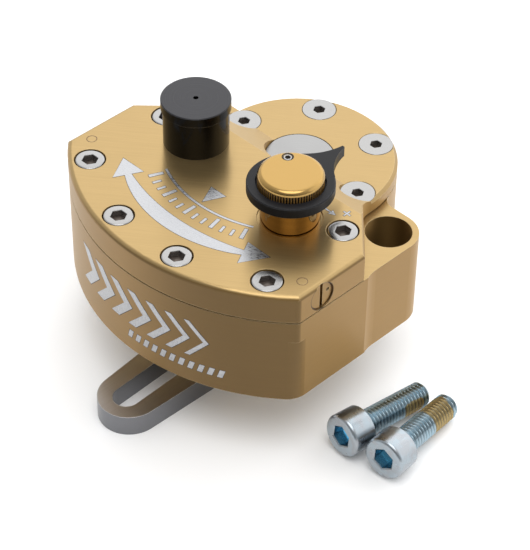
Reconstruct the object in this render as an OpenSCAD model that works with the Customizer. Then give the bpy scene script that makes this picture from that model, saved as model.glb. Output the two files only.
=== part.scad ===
// Rotary steering damper for a motorcycle. A vane on the upright shaft swings in a fan-shaped
// oil chamber, a slotted link arm below the body turns the shaft, and the valves in the cover
// set how hard the oil holds it back. Millimetres. The origin lies midway between the two
// mounting holes, on the mounting face; the curved front looks towards -Y.

/* [Body] */
// Width across the flat sides
body_w = 95.6; // [93:0.2:104]
// Radius of the curved front about the shaft
front_r = 68; // [66:0.5:74]
// Radius of the round back about the shaft
back_r = 29; // [28.5:0.25:30]
// Height from the mounting face to the cover
body_h = 29; // [27:0.5:36]
// Distance from the line of the mounting holes back to the shaft
shaft_y = 2.4; // [1.5:0.1:3.5]
// Corner radius beside the cover
corner_r = 2; // [1:0.25:4]
// Corner radius below the ledge
lower_corner_r = 7; // [5:0.5:9]
// Height of the corner ledge above the mounting face
ledge_z = 22; // [16:0.5:24]
// Wall between the oil chamber and the curved front
front_wall = 14; // [13:0.5:16]
// Thickness of the chamber floor
floor_t = 6; // [5:0.5:8]
// Radius of the bearing boss below the body
boss_r = 19; // [17:0.5:22]
// Depth of the bearing boss below the body
boss_h = 9.5; // [8:0.5:12]

/* [Mounting] */
// Distance between the two mounting holes
ear_spacing = 76.5; // [75:0.25:79]
// Thread diameter of the mounting bolts
bolt_d = 8; // [6:0.5:8]
// Length of the mounting bolts below the head
bolt_l = 25; // [20:1:40]
// Head diameter of the mounting bolts
bolt_head_d = 13; // [11:0.25:13.5]
// Head height of the mounting bolts
bolt_head_h = 8; // [5:0.25:9]
// Thread pitch of the mounting bolts
bolt_pitch = 1.25; // [1:0.25:1.5]
// Added to the bolt diameter for the mounting hole
bolt_clear = 0.5; // [0.3:0.1:1]
// Added to the bolt head diameter for its counterbore
head_room = 0.7; // [0.5:0.1:1.5]
// Wall of an ear round its counterbore
ear_wall = 1.95; // [1.5:0.05:3]
// Thickness of an ear below the bolt head
ear_seat_t = 13; // [10:0.5:18]
// Radius between an ear and the round back
web_r = 4; // [2:0.5:5]
// Radius of the flare between an ear and the flat side
flare_r = 12; // [6:1:20]

/* [Cover] */
// Thickness of the cover at the front
cover_h = 9.5; // [9:0.25:12]
// Thickness of the cover at the round back
disc_h = 4.4; // [4.2:0.1:5.2]
// Length of the ramp from the shaft axis to the thick front
ramp_l = 11; // [8:0.5:12]
// Radius along the top edges of the thick front
edge_r = 1.4; // [0.6:0.1:2]
// Chamfer along the top edge of the round back
disc_chamfer = 1; // [0.4:0.1:1.5]
// Radius between the slanted shoulder and the round back
neck_r = 8; // [4:0.5:9]
// Gap from an ear's counterbore to the slanted shoulder
shoulder_gap = 0.82; // [0.3:0.02:1.5]
// Depth of the fine groove along the joint of body and cover
joint_in = 0.3; // [0.1:0.05:0.6]
// Height of the fine groove along the joint of body and cover
joint_h = 0.4; // [0.2:0.05:0.8]
// Diameter of the plugs that close the oil drillings
plug_d = 2.8; // [2:0.1:3]
// Depth of the plugs
plug_h = 1.6; // [1.2:0.1:1.8]
// Distance of the plugs from the curved front
plug_inset = 7; // [6:0.25:8]
// Angle of the plugs about the shaft from straight ahead
plug_a = 45.2; // [44:0.1:46]
// Diameter of the oil drillings
drilling_d = 2; // [1.5:0.1:2.4]

/* [Cover screws] */
// Thread diameter of the cover screws
screw_d = 5; // [4:0.5:5]
// Head diameter of the cap screws
cap_head_d = 8.5; // [7:0.25:9]
// Head height of the cap screws
cap_head_h = 5; // [4:0.25:5.5]
// Length of the cap screws below the head
cap_screw_l = 16; // [12:1:20]
// Gap round the cap screw heads
cap_head_gap = 0.45; // [0.2:0.05:0.7]
// Socket width of the cap screws
cap_hex = 4; // [3:0.5:4]
// Head diameter of the countersunk screws
flat_head_d = 10.2; // [9:0.1:10.6]
// Overall length of the countersunk screws
flat_screw_l = 14; // [12:1:18]
// Socket width of the countersunk screws
flat_hex = 3; // [2.5:0.5:3]
// Depth of the sockets in the screw heads
hex_depth = 2.2; // [1.5:0.1:2.5]
// Distance of the front screws from the curved front
screw_inset = 6.4; // [6:0.1:7]
// Angle of the inner front screws from straight ahead
inner_screw_a = 11.25; // [10:0.25:14]
// Angle of the outer front screws from straight ahead
outer_screw_a = 36.3; // [34:0.1:37]
// Distance of the side screws from the flat sides
side_screw_inset = 11.55; // [10.5:0.05:13]
// Distance of the side screws ahead of the shaft
side_screw_y = 19.7; // [18:0.1:22]
// Distance of the back screws from the edge of the round back
back_screw_inset = 5.5; // [5:0.1:6]

/* [Shaft and vane] */
// Swing of the vane to each side
swing = 38; // [30:1:40]
// Thickness of the vane
vane_t = 8; // [6:0.5:10]
// Radius of the shaft hub that carries the vane
hub_r = 13; // [12.5:0.25:14]
// Depth of the vane root in the hub
root_l = 4; // [3:0.25:5]
// Diameter of the shaft end in the cover
journal_d = 20.5; // [19:0.25:21]
// Diameter of the shaft in the boss
lower_journal_d = 19; // [17:0.5:20]
// Wall of the shaft bushes
bush_t = 1.5; // [1:0.1:2]
// Height of the upper bush
upper_bush_h = 3; // [2:0.1:3.2]
// Height of the lower bush
lower_bush_h = 7; // [5:0.5:7.5]
// Height of the lower shaft seal
shaft_seal_h = 3.5; // [3:0.25:4]
// Wall of the lower shaft seal
shaft_seal_t = 4; // [3:0.25:5]
// Thickness of the ring that holds the lower seal
ring_clip_t = 1.2; // [0.8:0.1:1.4]
// Section diameter of the chamber seal
chamber_seal_d = 1.8; // [1.5:0.1:2]
// Thickness of the vane's tip seal
tip_seal_t = 2.5; // [2:0.1:3]
// Depth of the vane's tip seal
tip_seal_l = 3; // [2:0.25:4]

/* [Link arm] */
// Angle of the arm from straight ahead, at rest
arm_rest = 2; // [-10:0.5:10]
// Distance from the shaft to the centre of the rounded arm end
arm_l = 71.5; // [66:0.5:90]
// Radius of the rounded arm end
arm_tip_r = 9.5; // [9:0.1:11]
// Radius of the arm round the shaft
arm_hub_r = 14; // [13:0.25:15]
// Thickness of the arm
arm_t = 7; // [5:0.25:8]
// Height of the arm's clamp round the shaft
arm_hub_h = 11.2; // [10:0.1:13]
// Gap between the boss and the arm's clamp
arm_gap = 0.8; // [0.4:0.1:1.2]
// Width of the slot for the frame pin
slot_w = 8.2; // [7:0.1:10]
// Length of the slot from end to end
slot_l = 38; // [30:0.5:42]
// Wall between the slot and the arm end
tip_wall = 4.2; // [3.5:0.1:6]
// Outer diameter of the shaft serrations
spline_d = 15; // [13:0.25:16]
// Number of shaft serrations
spline_teeth = 24; // [18:2:32]
// Depth of the shaft serrations
spline_depth = 0.6; // [0.4:0.1:0.8]
// Width of the clamp's slit
slit_w = 2; // [1.5:0.1:3]
// Distance from the shaft to the pinch screw
pinch_y = 14; // [13:0.25:16]
// Width of the clamp across the pinch screw
pinch_w = 22; // [20:0.5:24]

/* [Damping knob] */
// Distance of the knob to the right of the shaft
knob_x = 21.9; // [20.5:0.1:22.5]
// Distance of the knob ahead of the shaft
knob_y = 26.2; // [25:0.1:28]
// Diameter of the knob top
knob_d = 19; // [18:0.25:21]
// Height of the knob top above the cover
knob_top = 16.4; // [15.5:0.1:18]
// Radius of the knob's polished top edge
knob_round = 1.6; // [0.6:0.1:2]
// Diameter of the knob below its top, inside the pointer ring
knob_hub_d = 17.2; // [16.6:0.1:17.6]
// Number of knurls round the knob
knurls = 72; // [48:4:96]
// Depth of the knurls
knurl_depth = 0.3; // [0.15:0.05:0.4]
// Depth of the knurled skirt in the pointer ring
skirt_in = 1.4; // [0.6:0.1:1.8]
// Gap round the knurled skirt in the pointer ring
skirt_gap = 0.45; // [0.3:0.05:0.8]
// Height of the pointer ring above the cover
pointer_z = 9.7; // [9:0.1:10.5]
// Thickness of the pointer ring
pointer_t = 3.3; // [2.5:0.1:3.6]
// Diameter of the pointer ring
pointer_d = 25; // [23:0.25:27]
// Chamfers of the pointer ring, above and below
pointer_chamfer = 0.3; // [0.1:0.05:0.8]
// Distance from the knob axis to the pointer tip
pointer_l = 21.8; // [19:0.1:24]
// Width of the pointer tip
pointer_tip_w = 0.8; // [0.6:0.1:2]
// Angle of the pointer to the left of straight back
pointer_a = 1.8; // [-20:0.2:20]
// Radius of the pointer's hollow sides
pointer_side_r = 18; // [14:0.5:24]
// Diameter of the valve housing above the cover
stem_d = 17.2; // [16.6:0.1:17.6]
// Diameter of the recess round the valve housing
recess_d = 18.8; // [18.4:0.1:20]
// Depth of the recess round the valve housing
recess_h = 1.5; // [0.8:0.1:2]
// Diameter of the valve housing where it screws into the cover
spigot_d = 12; // [11:0.25:13]
// Depth of the valve housing below the recess
spigot_h = 2.8; // [2.4:0.1:3]
// Diameter of the valve needle
needle_d = 5; // [4.5:0.1:5.4]
// Diameter of the needle's seat
seat_d = 2.5; // [2.2:0.1:2.8]
// Thickness of the cover below the needle chamber
seat_t = 3; // [2.5:0.1:3.2]
// Diameter of the detent ball
ball_d = 2.4; // [2:0.1:2.6]
// Distance of the detent ball from the knob axis
ball_r = 6.6; // [6.2:0.1:6.7]
// Bearing of the detent ball about the knob axis
ball_a = 143; // [0:1:359]
// Length of the knob's set screw
set_screw_l = 1.8; // [1.4:0.1:2]

/* [Reservoir] */
// Distance of the reservoir to the left of the shaft
tank_x = 21.9; // [21:0.1:23]
// Distance of the reservoir ahead of the shaft
tank_y = 21.1; // [20:0.1:23]
// Diameter of the reservoir cap
tank_d = 19.5; // [18.5:0.1:21]
// Diameter of the cap's lip
lip_d = 20.7; // [20:0.1:22]
// Height of the lip
lip_h = 3; // [2:0.1:6]
// Height of the reservoir cap above the cover
tank_h = 15.3; // [14:0.1:18]
// Thickness of the cap's top
tank_top_t = 2; // [1.5:0.1:3]
// Diameter of the reservoir bore
tank_bore = 14.4; // [13.5:0.1:15]
// Diameter of the vent hole
vent_d = 1.6; // [1:0.1:2.4]
// Depth of the cap in the cover
tank_spigot_h = 4; // [3.5:0.1:4.2]
// Height of the reservoir piston
piston_h = 5; // [4:0.25:6]
// Wire diameter of the reservoir spring
spring_wire = 1; // [0.7:0.05:1.1]
// Mean diameter of the reservoir spring
spring_d = 10.4; // [9:0.1:11]
// Number of curls of the reservoir spring
spring_curls = 5; // [3:1:5]

/* [Sweep adjusters] */
// Distance of the sweep screws ahead of the shaft
sweep_y = 39.6; // [38.5:0.1:40]
// Height of the sweep screws above the body
sweep_z = 4.85; // [4.8:0.05:4.9]
// Diameter of the sweep screw heads
sweep_d = 8.5; // [7:0.1:8.6]
// Thickness of the sweep screw heads
sweep_t = 2.2; // [1.6:0.1:2.2]
// Depth of the sweep screw heads below the flat sides
sweep_in = 0.5; // [0.2:0.1:0.9]
// Diameter of the sweep screw stems
sweep_stem_d = 3.6; // [3:0.1:3.8]
// Length of the sweep screw stems
sweep_stem_l = 11; // [9:0.5:13]
// Width of the sweep screw slots
sweep_slot_w = 1.1; // [0.8:0.1:1.6]

/* [Fits] */
// Radial clearance of shafts and pistons that move in their bores
run_clear = 0.04; // [0.02:0.01:0.08]
// Radial clearance of pieces that are pressed or screwed home
seat_clear = 0.02; // [0.01:0.01:0.05]
// Gap between the vane and the walls of the chamber
vane_gap = 0.3; // [0.2:0.05:0.5]
// Gap between pieces that turn past each other
turn_gap = 0.3; // [0.2:0.05:0.5]

/* [Hidden] */
$fn = 96;
over = 1;
root2 = sqrt(2);
gold = "#c8a560";
bright_gold = "#d6ac58";
steel = "#c9cbd2";
grey_steel = "#8b8c90";
bronze = "#a5763f";
black = "#1b1b1e";
rubber = "#26262a";
zinc = "#9fb6bf";
half_w = body_w / 2;
ear_hole_d = bolt_d + bolt_clear;
ear_bore_d = bolt_head_d + head_room;
ear_r = ear_bore_d / 2 + ear_wall;
ear_c = [ear_spacing / 2, -shaft_y];
// The slanted shoulder is the line x + y = shoulder_k about the shaft
shoulder_k = ear_c.x + ear_c.y - root2 * (ear_bore_d / 2 + shoulder_gap);
shoulder_y = half_w - shoulder_k;
flare_run = 1.8;
cover_z = body_h + cover_h;
disc_z = body_h + disc_h;
// The corner circles cross the front and the sides by this much, so that each edge has a clear end
corner_cross = 0.004;
screw_clear = 0.25;
thread_clear = 0.05;
front_screw_r = front_r - screw_inset;
back_screw_r = back_r - back_screw_inset;
cap_screw_spots = [
    for (a = [inner_screw_a, outer_screw_a]) front_screw_r * [sin(a), -cos(a)],
    [half_w - side_screw_inset, -side_screw_y]
];
flat_screw_spots = [for (a = [90, 30]) back_screw_r * [sin(a), cos(a)]];
plug_spot = (front_r - plug_inset) * [sin(plug_a), -cos(plug_a)];
chamber_r = front_r - front_wall;
chamber_h = body_h - floor_t;
hub_bore_r = hub_r + turn_gap;
vane_tip_r = chamber_r - vane_gap;
tip_seal_clear = 0.1;
groove_clear = 0.05;
chamber_seal_gap = 1.4;
boss_z = -boss_h;
bush_seat_r = lower_journal_d / 2 + bush_t;
lower_bush_z = floor_t - lower_bush_h;
clip_lip = 0.6;
clip_groove = 1;
shaft_seal_r = lower_journal_d / 2 + shaft_seal_t;
arm_hub_z = boss_z - arm_gap - arm_hub_h;
arm_bottom_z = arm_hub_z;
slot_out = arm_l + arm_tip_r - tip_wall - slot_w / 2;
slot_in = slot_out - (slot_l - slot_w);
spline_clear = 0.05;
pinch_z = arm_hub_z + arm_hub_h / 2;
pinch_d = 5;
pinch_head_d = 8.5;
pinch_head_h = 5;
pinch_wall = 5;
knob_c = [knob_x, -knob_y];
tank_c = [-tank_x, -tank_y];
stem_top_z = cover_z + pointer_z - turn_gap;
knob_z = cover_z + pointer_z;
pointer_top_z = knob_z + pointer_t;
knob_top_z = cover_z + knob_top;
recess_z = cover_z - recess_h;
spigot_z = recess_z - spigot_h;
needle_chamber_z = body_h + seat_t;
drilling_z = needle_chamber_z + drilling_d / 2;
port_share = 0.75;
needle_hex = 4;
needle_hex_clear = 0.1;
needle_feed = 0.5;
needle_top_z = pointer_top_z - needle_feed;
needle_tip_d = 0.7;
needle_cone_h = 2.4;
needle_shoulder = 0.5;
needle_tip_in = 0.4;
needle_tip_z = needle_chamber_z - needle_tip_in;
needle_seal_d = 0.8;
needle_seal_rise = 3;
needle_seal_z = cover_z + needle_seal_rise;
spigot_seal_d = 1;
spigot_seal_drop = 1.4;
spigot_seal_z = recess_z - spigot_seal_drop;
ball_lift = 0.2;
ball_z = knob_z + ball_lift;
ball_gap = 0.1;
ball_hole_gap = 0.15;
ball_hole_r = ball_d / 2 + ball_hole_gap;
mouth_chamfer = 0.4;
knurl_in = 0.08;
notches = 16;
notch_r = 0.35;
set_screw_drop = 0.15;
set_screw_z = knob_top_z - set_screw_drop - set_screw_l;
set_hex = 1.5;
detent_wire = 0.3;
detent_spring_d = 1.6;
detent_curls = 2;
tank_step = 0.2;
tank_spigot_r = tank_d / 2 - tank_step;
tank_bottom_z = cover_z - tank_spigot_h;
tank_inner_z = cover_z + tank_h - tank_top_t;
tank_seal_d = 1.3;
tank_seal_drop = 1.6;
tank_seal_z = cover_z - tank_seal_drop;
tank_port_d = 6;
lip_chamfer = 0.25;
piston_rest = 2.2;
piston_z = tank_bottom_z + piston_rest;
piston_seal_d = 1.2;
spring_z = piston_z + piston_h;
sweep_c_z = body_h + sweep_z;
sweep_seal_d = 0.8;
sweep_head_x = half_w - sweep_in;
sweep_end_gap = 1.5;
sweep_port_x = sweep_head_x - sweep_t - sweep_stem_l - sweep_end_gap;
sweep_slot_h = 1;
dot_d = 1.2;
dot_r = 2.6;
dot_a = 107;
dot_h = 0.4;
// The two mounting bolts lie beside the damper: place of the head seat and heading of the shank
bolt_spots = [[57.7, -32.4, 85.7], [70.8, -30.3, 96.4]];
bolt_tilt = atan((bolt_head_d - bolt_d) / 2 / bolt_l);
bolt_hex = 6;
bolt_hex_h = 4;
bolt_chamfer = 0.8;
bolt_plain_l = 3.5;

// Places that several pieces share
module at_shaft() {
    translate([0, shaft_y, 0]) children();
}
module at_swing() {
    at_shaft() rotate(arm_rest) children();
}
module at_knob() {
    at_shaft() translate(knob_c) children();
}
module at_tank() {
    at_shaft() translate(tank_c) children();
}
module at_sweep(side) {
    at_shaft() translate([side * sweep_head_x, -sweep_y, sweep_c_z]) rotate([0, side * 90, 0]) children();
}
module both_sides() {
    children();
    mirror([1, 0, 0]) children();
}

// Shapes that several pieces share
module hex(width, h) {
    cylinder(d = width / cos(30), h = h, $fn = 6);
}
module o_ring(mean_r, section_d) {
    rotate_extrude() translate([mean_r, 0]) circle(d = section_d, $fn = 24);
}
module groove(outer_r, depth, h) {
    difference() {
        translate([0, 0, -h / 2]) cylinder(r = outer_r + over, h = h);
        translate([0, 0, -h]) cylinder(r = outer_r - depth, h = 2 * h);
    }
}
// Cap screw with its head seat at z = 0 and its shank downwards
module cap_screw(d, head_d, head_h, length, hex_w) {
    difference() {
        union() {
            cylinder(d = head_d, h = head_h);
            translate([0, 0, -length]) cylinder(d = d, h = length + over);
        }
        translate([0, 0, head_h - hex_depth]) hex(hex_w, hex_depth + over);
    }
}

// Helical spring as one tube of six sides, with its wire centre on a helix
function helix_point(i, mean_r, pitch, steps) =
    [mean_r * cos(360 * i / steps), mean_r * sin(360 * i / steps), pitch * i / steps];
function helix_ring(i, mean_r, pitch, steps, wire_r, sides) = [
    for (j = [0 : sides - 1])
        helix_point(i, mean_r + wire_r * cos(360 * j / sides), pitch, steps)
            + [0, 0, wire_r * sin(360 * j / sides)]
];
module helix_spring(mean_d, wire_d, h, curls) {
    steps = 8;
    sides = 6;
    last = steps * curls;
    pitch = (h - wire_d) / curls;
    rings = [for (i = [0 : last]) each helix_ring(i, mean_d / 2, pitch, steps, wire_d / 2, sides)];
    skin = [
        for (i = [0 : last - 1], j = [0 : sides - 1], half = [0, 1])
            let (a = i * sides + j, b = i * sides + (j + 1) % sides)
                half == 0 ? [a, b, b + sides] : [a, b + sides, a + sides]
    ];
    ends = [
        for (j = [1 : sides - 2]) each [
            [0, j + 1, j],
            [last * sides, last * sides + j, last * sides + j + 1]
        ]
    ];
    echo(least_gap = pitch - wire_d);
    translate([0, 0, wire_d / 2]) polyhedron(points = rings, faces = concat(skin, ends), convexity = 10);
}

// Outlines seen from above, with the shaft at the origin. Each can be drawn in by inset.
function corner_c(r, inset) =
    let (x = half_w - inset - r) [x, -sqrt(pow(front_r - inset - r, 2) - x * x)];
module fan_plan(r, inset) {
    c = corner_c(r - corner_cross, inset);
    w = half_w - inset;
    difference() {
        intersection() {
            circle(r = front_r - inset, $fn = 180);
            translate([-w, -front_r]) square([2 * w, front_r - shoulder_y]);
        }
        both_sides() difference() {
            polygon([c, [w + over, c.y], [w + over, -front_r], c * (front_r + over) / norm(c)]);
            translate(c) circle(r = r);
        }
    }
}
module cover_plan(r, inset = 0) {
    k = shoulder_k - root2 * inset;
    w = half_w - inset;
    b = back_r - inset;
    n = neck_r + inset;
    reach = b + n;
    sum = k + root2 * n;
    cx = (sum + sqrt(2 * reach * reach - sum * sum)) / 2;
    c = [cx, sum - cx];
    fan_plan(r, inset);
    polygon([[-w, k - w - over], [-w, k - w], [-k, 0], [k, 0], [w, k - w], [w, k - w - over]]);
    circle(r = b);
    both_sides() difference() {
        polygon([c - n / root2 * [1, 1], c, c * b / reach, [k - 3 * over, 0]]);
        translate(c) circle(r = n);
    }
}
module ear_plan() {
    both_sides() {
        translate(ear_c) circle(r = ear_r);
        translate([0, ear_c.y]) square([ear_c.x, ear_r]);
        translate([0, -shoulder_y - over]) square([ear_c.x + ear_r, shoulder_y + over + ear_c.y]);
    }
}
module flare_plan() {
    ear_x = ear_c.x + ear_r;
    step = half_w - ear_x;
    rise = sqrt(flare_r * flare_r - pow(flare_r - max(step, 0), 2));
    if (step > 0) both_sides() difference() {
        translate([ear_x - over, -shoulder_y - over]) square([step + over, flare_run + rise + over]);
        translate([ear_x + flare_r, -shoulder_y + flare_run + rise]) circle(r = flare_r, $fn = 180);
    }
}
module web_plan() {
    y = ear_c.y + ear_r;
    reach = back_r + web_r;
    c = [sqrt(reach * reach - pow(y + web_r, 2)), y + web_r];
    both_sides() difference() {
        polygon([[c.x, y], c, c * back_r / reach, [c.x - web_r - over, y - over], [c.x, y - over]]);
        translate(c) circle(r = web_r);
    }
}
module body_plan(r) {
    cover_plan(r);
    ear_plan();
    flare_plan();
    web_plan();
}
module vane_strip(extra) {
    w = vane_t + 2 * extra;
    translate([-w / 2, -2 * chamber_r]) square([w, 2 * chamber_r]);
}
module chamber_plan(extra = 0) {
    intersection() {
        circle(r = chamber_r + extra, $fn = 180);
        union() {
            polygon([
                [0, 0],
                for (a = [-swing, 0, swing]) 2 * chamber_r * [sin(a), -cos(a)]
            ]);
            for (a = [-swing, swing]) rotate(a) vane_strip(vane_gap + extra);
        }
    }
    circle(r = hub_bore_r + extra);
}
module seal_plan() {
    difference() {
        chamber_plan(chamber_seal_gap + chamber_seal_d);
        chamber_plan(chamber_seal_gap);
    }
}
function spline_point(i, extra) =
    (spline_d / 2 + extra - (i % 2) * spline_depth)
        * [cos(180 * i / spline_teeth), sin(180 * i / spline_teeth)];
module spline_plan(extra) {
    polygon([for (i = [0 : 2 * spline_teeth - 1]) spline_point(i, extra)]);
}

// Fixed housing
module main_body() {
    color(gold) at_shaft() difference() {
        union() {
            linear_extrude(ledge_z) body_plan(lower_corner_r);
            translate([0, 0, ledge_z]) linear_extrude(body_h - ledge_z) body_plan(corner_r);
            translate([0, 0, boss_z]) cylinder(r = boss_r, h = boss_h + over);
        }
        translate([0, 0, floor_t]) linear_extrude(chamber_h + over) chamber_plan();
        translate([0, 0, body_h - chamber_seal_d]) linear_extrude(chamber_seal_d + over) seal_plan();
        shaft_bores();
        both_sides() {
            ear_hole();
            body_screw_holes();
        }
    }
}
module shaft_bores() {
    clip_z = boss_z + clip_lip;
    seal_z = clip_z + ring_clip_t;
    bush_z = seal_z + shaft_seal_h;
    translate([0, 0, boss_z - over])
        cylinder(d = lower_journal_d + 2 * turn_gap, h = boss_h + floor_t + 2 * over);
    translate([0, 0, boss_z - over]) cylinder(r = shaft_seal_r + seat_clear, h = bush_z - boss_z + over);
    translate([0, 0, clip_z]) cylinder(r = shaft_seal_r + clip_groove, h = ring_clip_t);
    translate([0, 0, lower_bush_z]) cylinder(r = bush_seat_r + seat_clear, h = lower_bush_h + over);
}
module ear_hole() {
    translate([ear_c.x, ear_c.y, -over]) cylinder(d = ear_hole_d, h = body_h + 2 * over);
    translate([ear_c.x, ear_c.y, ear_seat_t]) cylinder(d = ear_bore_d, h = body_h);
}
module body_screw_holes() {
    cap_tip_z = cover_z - cap_head_h - cap_screw_l - over;
    flat_tip_z = disc_z - flat_screw_l - over;
    for (p = cap_screw_spots)
        translate([p.x, p.y, cap_tip_z])
            cylinder(d = screw_d + 2 * thread_clear, h = body_h - cap_tip_z + over);
    for (p = flat_screw_spots)
        translate([p.x, p.y, flat_tip_z])
            cylinder(d = screw_d + 2 * thread_clear, h = body_h - flat_tip_z + over);
}
module chamber_seal() {
    color(rubber) at_shaft() translate([0, 0, body_h - chamber_seal_d]) linear_extrude(chamber_seal_d)
        difference() {
            chamber_plan(chamber_seal_gap + chamber_seal_d - groove_clear);
            chamber_plan(chamber_seal_gap + groove_clear);
        }
}

// Cover with its ramp, rounded edges, screw seats, valve bores and oil drillings
module top_cover() {
    color(gold) at_shaft() difference() {
        union() {
            translate([0, 0, body_h]) linear_extrude(joint_h) cover_plan(corner_r - joint_in, joint_in);
            translate([0, 0, body_h + joint_h]) linear_extrude(cover_h - joint_h) cover_plan(corner_r);
        }
        ramp_cut();
        top_rounds();
        translate([0, 0, body_h - over]) cylinder(d = journal_d + 2 * turn_gap, h = cover_h + 2 * over);
        translate([0, 0, body_h - over])
            cylinder(r = journal_d / 2 + bush_t + seat_clear, h = upper_bush_h + over);
        both_sides() cover_screw_seats();
        both_sides() translate([plug_spot.x, plug_spot.y, cover_z - plug_h])
            cylinder(d = plug_d + 2 * seat_clear, h = plug_h + over);
        valve_bore();
        tank_bore_cut();
        oil_drillings();
        for (side = [-1, 1]) sweep_bore(side);
    }
}
module ramp_cut() {
    high = cover_z + over;
    far = back_r + over;
    translate([-half_w - over, 0, 0]) rotate([90, 0, 90]) linear_extrude(body_w + 2 * over) polygon([
        [-ramp_l, cover_z], [0, disc_z], [far, disc_z], [far, high], [-ramp_l, high]
    ]);
}
module round_profile() {
    difference() {
        square(edge_r + over);
        circle(r = edge_r, $fn = 48);
    }
}
module straight_round(length) {
    translate([-edge_r, length, cover_z - edge_r]) rotate([90, 0, 0])
        linear_extrude(length) round_profile();
}
module top_rounds() {
    rotate_extrude($fn = 180) translate([front_r - edge_r, cover_z - edge_r]) round_profile();
    both_sides() {
        translate([half_w, -front_r, 0]) straight_round(front_r - shoulder_y + over / 2);
        translate([half_w, -shoulder_y, 0]) rotate(45) straight_round(root2 * shoulder_y);
    }
    rotate_extrude(angle = 180) polygon([
        [back_r - disc_chamfer, disc_z],
        [back_r + over, disc_z - disc_chamfer - over],
        [back_r + over, disc_z + over],
        [back_r - disc_chamfer, disc_z + over]
    ]);
}
module cover_screw_seats() {
    hole_d = screw_d + 2 * screw_clear;
    seat_d = cap_head_d + 2 * cap_head_gap;
    flat_d = flat_head_d + 2 * screw_clear;
    cone_h = (flat_d - hole_d) / 2;
    for (p = cap_screw_spots) translate([p.x, p.y, 0]) {
        translate([0, 0, body_h - over]) cylinder(d = hole_d, h = cover_h + 2 * over);
        translate([0, 0, cover_z - cap_head_h]) cylinder(d = seat_d, h = cap_head_h + over);
    }
    for (p = flat_screw_spots) translate([p.x, p.y, 0]) {
        translate([0, 0, body_h - over]) cylinder(d = hole_d, h = cover_h + 2 * over);
        translate([0, 0, disc_z - cone_h]) cylinder(d1 = hole_d, d2 = flat_d, h = cone_h);
        translate([0, 0, disc_z]) cylinder(d = flat_d, h = cover_h);
    }
}
module valve_bore() {
    translate(knob_c) {
        translate([0, 0, recess_z]) cylinder(d = recess_d, h = recess_h + over);
        translate([0, 0, needle_chamber_z]) cylinder(d = spigot_d + 2 * seat_clear, h = cover_h);
        translate([0, 0, body_h - over]) cylinder(d = seat_d, h = cover_h);
    }
}
module tank_bore_cut() {
    translate(tank_c) {
        translate([0, 0, tank_bottom_z]) cylinder(r = tank_spigot_r + seat_clear, h = tank_spigot_h + over);
        translate([0, 0, drilling_z - drilling_d / 2]) cylinder(d = tank_port_d, h = cover_h);
    }
}
// One drilling joins the needle chamber to the reservoir, and a port from it opens into the chamber
module oil_drillings() {
    run = tank_c - knob_c;
    port = knob_c + port_share * run;
    translate([knob_c.x, knob_c.y, drilling_z]) rotate([0, 90, atan2(run.y, run.x)])
        cylinder(d = drilling_d, h = norm(run));
    translate([port.x, port.y, body_h - over]) cylinder(d = drilling_d, h = drilling_z - body_h + over);
}
module sweep_bore(side) {
    translate([0, -shaft_y, 0]) at_sweep(side) {
        translate([0, 0, -sweep_t - turn_gap])
            cylinder(d = sweep_d + 2 * run_clear, h = sweep_t + turn_gap + sweep_in + over);
        translate([0, 0, sweep_port_x - sweep_head_x])
            cylinder(d = sweep_stem_d + 2 * run_clear, h = sweep_head_x - sweep_port_x);
    }
    translate([side * (sweep_port_x + drilling_d / 2), -sweep_y, body_h - over])
        cylinder(d = drilling_d, h = sweep_z + over);
}
module lid_cap_screws() {
    color(steel) at_shaft() both_sides() for (p = cap_screw_spots)
        translate([p.x, p.y, cover_z - cap_head_h])
            cap_screw(screw_d, cap_head_d, cap_head_h, cap_screw_l, cap_hex);
}
module lid_flat_screws() {
    head_h = (flat_head_d - screw_d) / 2;
    color(steel) at_shaft() both_sides() for (p = flat_screw_spots)
        translate([p.x, p.y, disc_z]) difference() {
            union() {
                translate([0, 0, -flat_screw_l]) cylinder(d = screw_d, h = flat_screw_l);
                translate([0, 0, -head_h]) cylinder(d1 = screw_d, d2 = flat_head_d, h = head_h);
            }
            translate([0, 0, -hex_depth]) hex(flat_hex, hex_depth + over);
        }
}
module oil_plugs() {
    color(gold) at_shaft() both_sides() translate([plug_spot.x, plug_spot.y, cover_z - plug_h])
        cylinder(d = plug_d, h = plug_h);
}
module upper_bush() {
    color(bronze) at_shaft() translate([0, 0, body_h]) difference() {
        cylinder(r = journal_d / 2 + bush_t, h = upper_bush_h);
        translate([0, 0, -over]) cylinder(d = journal_d + 2 * run_clear, h = upper_bush_h + 2 * over);
    }
}
module lower_bush() {
    color(bronze) at_shaft() translate([0, 0, lower_bush_z]) difference() {
        cylinder(r = bush_seat_r, h = lower_bush_h);
        translate([0, 0, -over]) cylinder(d = lower_journal_d + 2 * run_clear, h = lower_bush_h + 2 * over);
    }
}
module lower_shaft_seal() {
    color(rubber) at_shaft() translate([0, 0, boss_z + clip_lip + ring_clip_t]) difference() {
        cylinder(r = shaft_seal_r, h = shaft_seal_h);
        translate([0, 0, -over]) cylinder(d = lower_journal_d + 2 * run_clear, h = shaft_seal_h + 2 * over);
    }
}
module seal_clip() {
    color(grey_steel) at_shaft() translate([0, 0, boss_z + clip_lip]) difference() {
        cylinder(r = shaft_seal_r + clip_groove - groove_clear, h = ring_clip_t);
        translate([0, 0, -over]) cylinder(d = lower_journal_d + 2 * bush_t, h = ring_clip_t + 2 * over);
    }
}

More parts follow.
